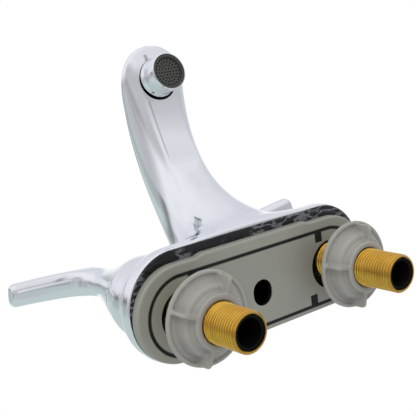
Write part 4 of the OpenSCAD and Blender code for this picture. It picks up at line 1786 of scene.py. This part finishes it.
@dataclass(frozen=True)
class CarriedPieces:
    """The construction's own solids that show as they are, with better finishes."""

    single: tuple[tuple[str, Finish], ...] = (
        ("base_plate", Finish.GREY_PLASTIC), ("deck_seal", Finish.BLACK_RUBBER),
        ("manifold", Finish.CAST_BRASS), ("spout_tube", Finish.COPPER),
        ("aerator_housing", Finish.CHROME), ("aerator_insert", Finish.AERATOR_PLASTIC),
        ("aerator_washer", Finish.BLACK_RUBBER), ("hot_index_cap", Finish.HOT_MARKER),
        ("cold_index_cap", Finish.COLD_MARKER),
    )
    paired: tuple[tuple[str, Finish], ...] = (
        ("shank_liner", Finish.BLACK_SLEEVE), ("riser_nut", Finish.CAST_BRASS),
        ("seat_seal", Finish.BLACK_RUBBER), ("fixed_disc", Finish.CERAMIC),
        ("moving_disc", Finish.CERAMIC), ("cartridge_body", Finish.CAST_BRASS),
        ("body_oring", Finish.BLACK_RUBBER), ("stem", Finish.CAST_BRASS),
        ("stem_oring", Finish.BLACK_RUBBER), ("lever_screw", Finish.STEEL),
    )

    def build(self) -> None:
        """Gives each solid its finish, and reports it."""
        both = [(f"{side.label}_{name}", finish) for side in Side for name, finish in self.paired]
        for name, finish in (*self.single, *both):
            finish.dress(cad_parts[name])
            log.info("%s: %s", name, finish.value.name)


# ---- studio --------------------------------------------------------------------------


@dataclass(frozen=True)
class Studio:
    """Camera, light and floor.

    The room that metal sees is a tent with a few dark gaps, each given by its direction, its
    half width and its depth, and dark seams, each by its two ends, half width and depth. All
    of these directions are in degrees off the way back to the eye and round it.
    """

    eye: Triple = (-0.261136, -0.131474, -0.334201)
    forward: Triple = (0.55925, 0.20104, 0.80425)
    up: Triple = (0.21717, -0.97180, 0.09191)
    lens: float = 71.29
    sensor: float = 36
    clip: Point = (0.01, 20)
    floor_height: float = -0.75
    floor_size: float = 6.0
    world_level: float = 0.87
    key_power: float = 5.2
    key_size: float = 0.7
    key_place: Triple = (-0.35, -1.0, -0.55)
    key_target: Triple = (0, -0.03, 0.02)
    low_tone: Triple = (0.555, 0.65, 0.645)
    middle_tone: Triple = (0.52, 0.525, 0.55)
    near_tone: Triple = (0.54, 0.545, 0.565)
    high_tone: Triple = (0.885, 0.895, 0.935)
    back_tone: Triple = (0.66, 0.68, 0.74)
    backdrop_tone: Triple = (0.96, 0.98, 0.98)
    gap_tone: Triple = (0.20, 0.205, 0.21)
    fold_tone: Triple = (0.46, 0.47, 0.50)
    high_rise: Point = (-0.16, 0.25)
    right_fall: Point = (0, 0.7)
    near_rise: Point = (0.68, 0.95)
    back_rise: Point = (0.1, 0.75)
    back_height: Point = (-0.2, 0.5)
    low_rise: Point = (0.2, 0.52)
    backdrop_rise: Point = (0.86, 0.97)
    folds: Patches = Patches(2.6, 3, 0.46, 0.66)
    gaps: tuple[tuple[float, float, float, float], ...] = (
        (24, 215, 20, 0.4), (118, 186, 14, 0.35), (149, 176, 12, 0.45), (52, 203, 16, 0.25),
    )
    seams: tuple[tuple[Point, Point, float, float], ...] = (
        ((61, 22), (68, 46), 3.2, 0.75), ((112, 181), (158, 184), 6, 0.85),
    )

    @cached_property
    def axes(self) -> tuple[Vector, Vector, Vector]:
        """Directions to the right, up and back to the eye, as the camera stands."""
        back = -Vector(self.forward).normalized()
        up = Vector(self.up)
        up = (up - up.dot(back) * back).normalized()
        return up.cross(back), up, back

    def toward(self, off: float, turn: float) -> Vector:
        """A direction off the way back to the eye.

        Args:
            off: Degrees away from the way back to the eye.
            turn: Degrees round it, anticlockwise from the right.

        Returns:
            The direction.
        """
        right, up, back = self.axes
        off, turn = math.radians(off), math.radians(turn)
        side = math.cos(turn) * right + math.sin(turn) * up
        return math.cos(off) * back + math.sin(off) * side

    def camera(self) -> None:
        """Sets the camera."""
        data = bpy.data.cameras.new("camera")
        data.lens, data.sensor_width = self.lens, self.sensor
        data.clip_start, data.clip_end = self.clip
        camera = bpy.data.objects.new("camera", data)
        turn = Matrix(self.axes).transposed().to_4x4()
        camera.matrix_world = Matrix.Translation(self.eye) @ turn
        bpy.context.scene.collection.objects.link(camera)
        bpy.context.scene.camera = camera

    def tent(self, s: Shader) -> Signal:
        """The tent round the object, as metal sees it.

        Args:
            s: The world's node tree.

        Returns:
            Its colour by direction.
        """
        direction = s.signal("ShaderNodeTexCoord", "Generated")
        right, up, back = self.axes

        def along(axis: Vector) -> Signal:
            """How far the direction runs along an axis."""
            return s.vector("DOT_PRODUCT", "Value", direction, tuple(axis))

        sideways = along(right).above(0)
        height = (along(up) - sideways * 0.5).ramp(*self.high_rise)
        high = height * (1 - sideways.ramp(*self.right_fall) * 0.3)
        tone = s.mix(high, self.middle_tone, self.high_tone)
        tone = s.mix(along(back).ramp(*self.near_rise), tone, self.near_tone)
        behind = along(-back).ramp(*self.back_rise) * along(up).ramp(*self.back_height)
        tone = s.mix(behind * 0.7, tone, self.back_tone)
        depth_below = along(-back).above(0) * 0.55 - along(up)
        tone = s.mix(depth_below.ramp(*self.low_rise), tone, self.low_tone)
        tone = s.mix(along(-back).ramp(*self.backdrop_rise), tone, self.backdrop_tone)
        for off, turn, width, depth in self.gaps:
            gap = along(self.toward(off, turn)).ramp(math.cos(math.radians(width)), 1)
            tone = s.mix(gap * depth, tone, self.gap_tone)
        for first, last, width, depth in self.seams:
            start, end = self.toward(*first), self.toward(*last)
            middle = (start + end).normalized()
            reach = start.dot(middle)
            away = abs(along(start.cross(end).normalized()))
            seam = away.ramp(math.sin(math.radians(width)), 0)
            seam = seam * along(middle).ramp(2 * reach - 1, reach)
            tone = s.mix(seam * depth, tone, self.gap_tone)
        return s.mix(self.folds.on(s, direction) * 0.08, tone, self.fold_tone)

    def world(self) -> None:
        """A white room, in which metal sees a softly tinted tent."""
        world = bpy.data.worlds.new("studio")
        bpy.context.scene.world = world
        world.use_nodes = True
        s = Shader(world.node_tree)

        def glow(colour: object, level: float) -> Signal:
            """Light of one colour and level from all sides."""
            return s.signal("ShaderNodeBackground", 0, {"Color": colour, "Strength": level})

        def choose(share: Signal, first: Signal, second: Signal) -> Signal:
            """The first light where the share is 0, and the second where it is 1."""
            return s.signal("ShaderNodeMixShader", 0, {0: share, 1: first, 2: second})

        glossy, clear, seen = (
            s.signal("ShaderNodeLightPath", f"Is {kind} Ray")
            for kind in ("Glossy", "Transmission", "Camera")
        )
        white = (1, 1, 1)
        light = choose(glossy.above(clear), glow(white, self.world_level), glow(self.tent(s), 1.0))
        s.node("ShaderNodeOutputWorld", {"Surface": choose(seen, light, glow(white, 1.0))})

    def key_light(self) -> None:
        """One large soft lamp in front of the spout."""
        data = bpy.data.lights.new("key", "AREA")
        data.shape, data.size, data.energy = "DISK", self.key_size, self.key_power
        lamp = bpy.data.objects.new("key", data)
        lamp.location = self.key_place
        lamp.visible_glossy = False
        lamp.rotation_mode = "QUATERNION"
        aim = Vector(self.key_target) - Vector(self.key_place)
        lamp.rotation_quaternion = aim.to_track_quat("-Z", "Y")
        bpy.context.scene.collection.objects.link(lamp)

    def floor(self) -> None:
        """A plain pale floor below everything."""
        corners = np.array([(-1, -1, 0), (1, -1, 0), (1, 1, 0), (-1, 1, 0)])
        vertices = corners * self.floor_size / 2 + (0, 0, self.floor_height)
        floor = Finish.FLOOR.dress(mesh_object("floor", vertices, np.array([(0, 1, 2, 3)])))
        floor.visible_glossy = False

    def build(self) -> None:
        """Sets up camera, light and floor."""
        bpy.context.scene.view_settings.view_transform = "Standard"
        self.camera()
        self.world()
        self.key_light()
        self.floor()


def main() -> None:
    """Builds the faucet and the studio."""
    logging.basicConfig(level=logging.INFO)
    Studio().build()
    CarriedPieces().build()
    body = BodyCasting()
    pieces = [
        body,
        OutletCollar(body),
        RimGasket(body),
        LeverCasting(Side.HOT, math.radians(6)),
        LeverCasting(Side.COLD, math.radians(12)),
        ThreadedShank(Side.HOT),
        ThreadedShank(Side.COLD),
        MountingNut(Side.HOT, 19 * MM, math.radians(25)),
        MountingNut(Side.COLD, 17.7 * MM, math.radians(12)),
    ]
    for piece in pieces:
        made = piece.build()
        log.info("%s: %d faces", made.name, len(made.data.polygons))


if __name__ == "__main__":
    main()
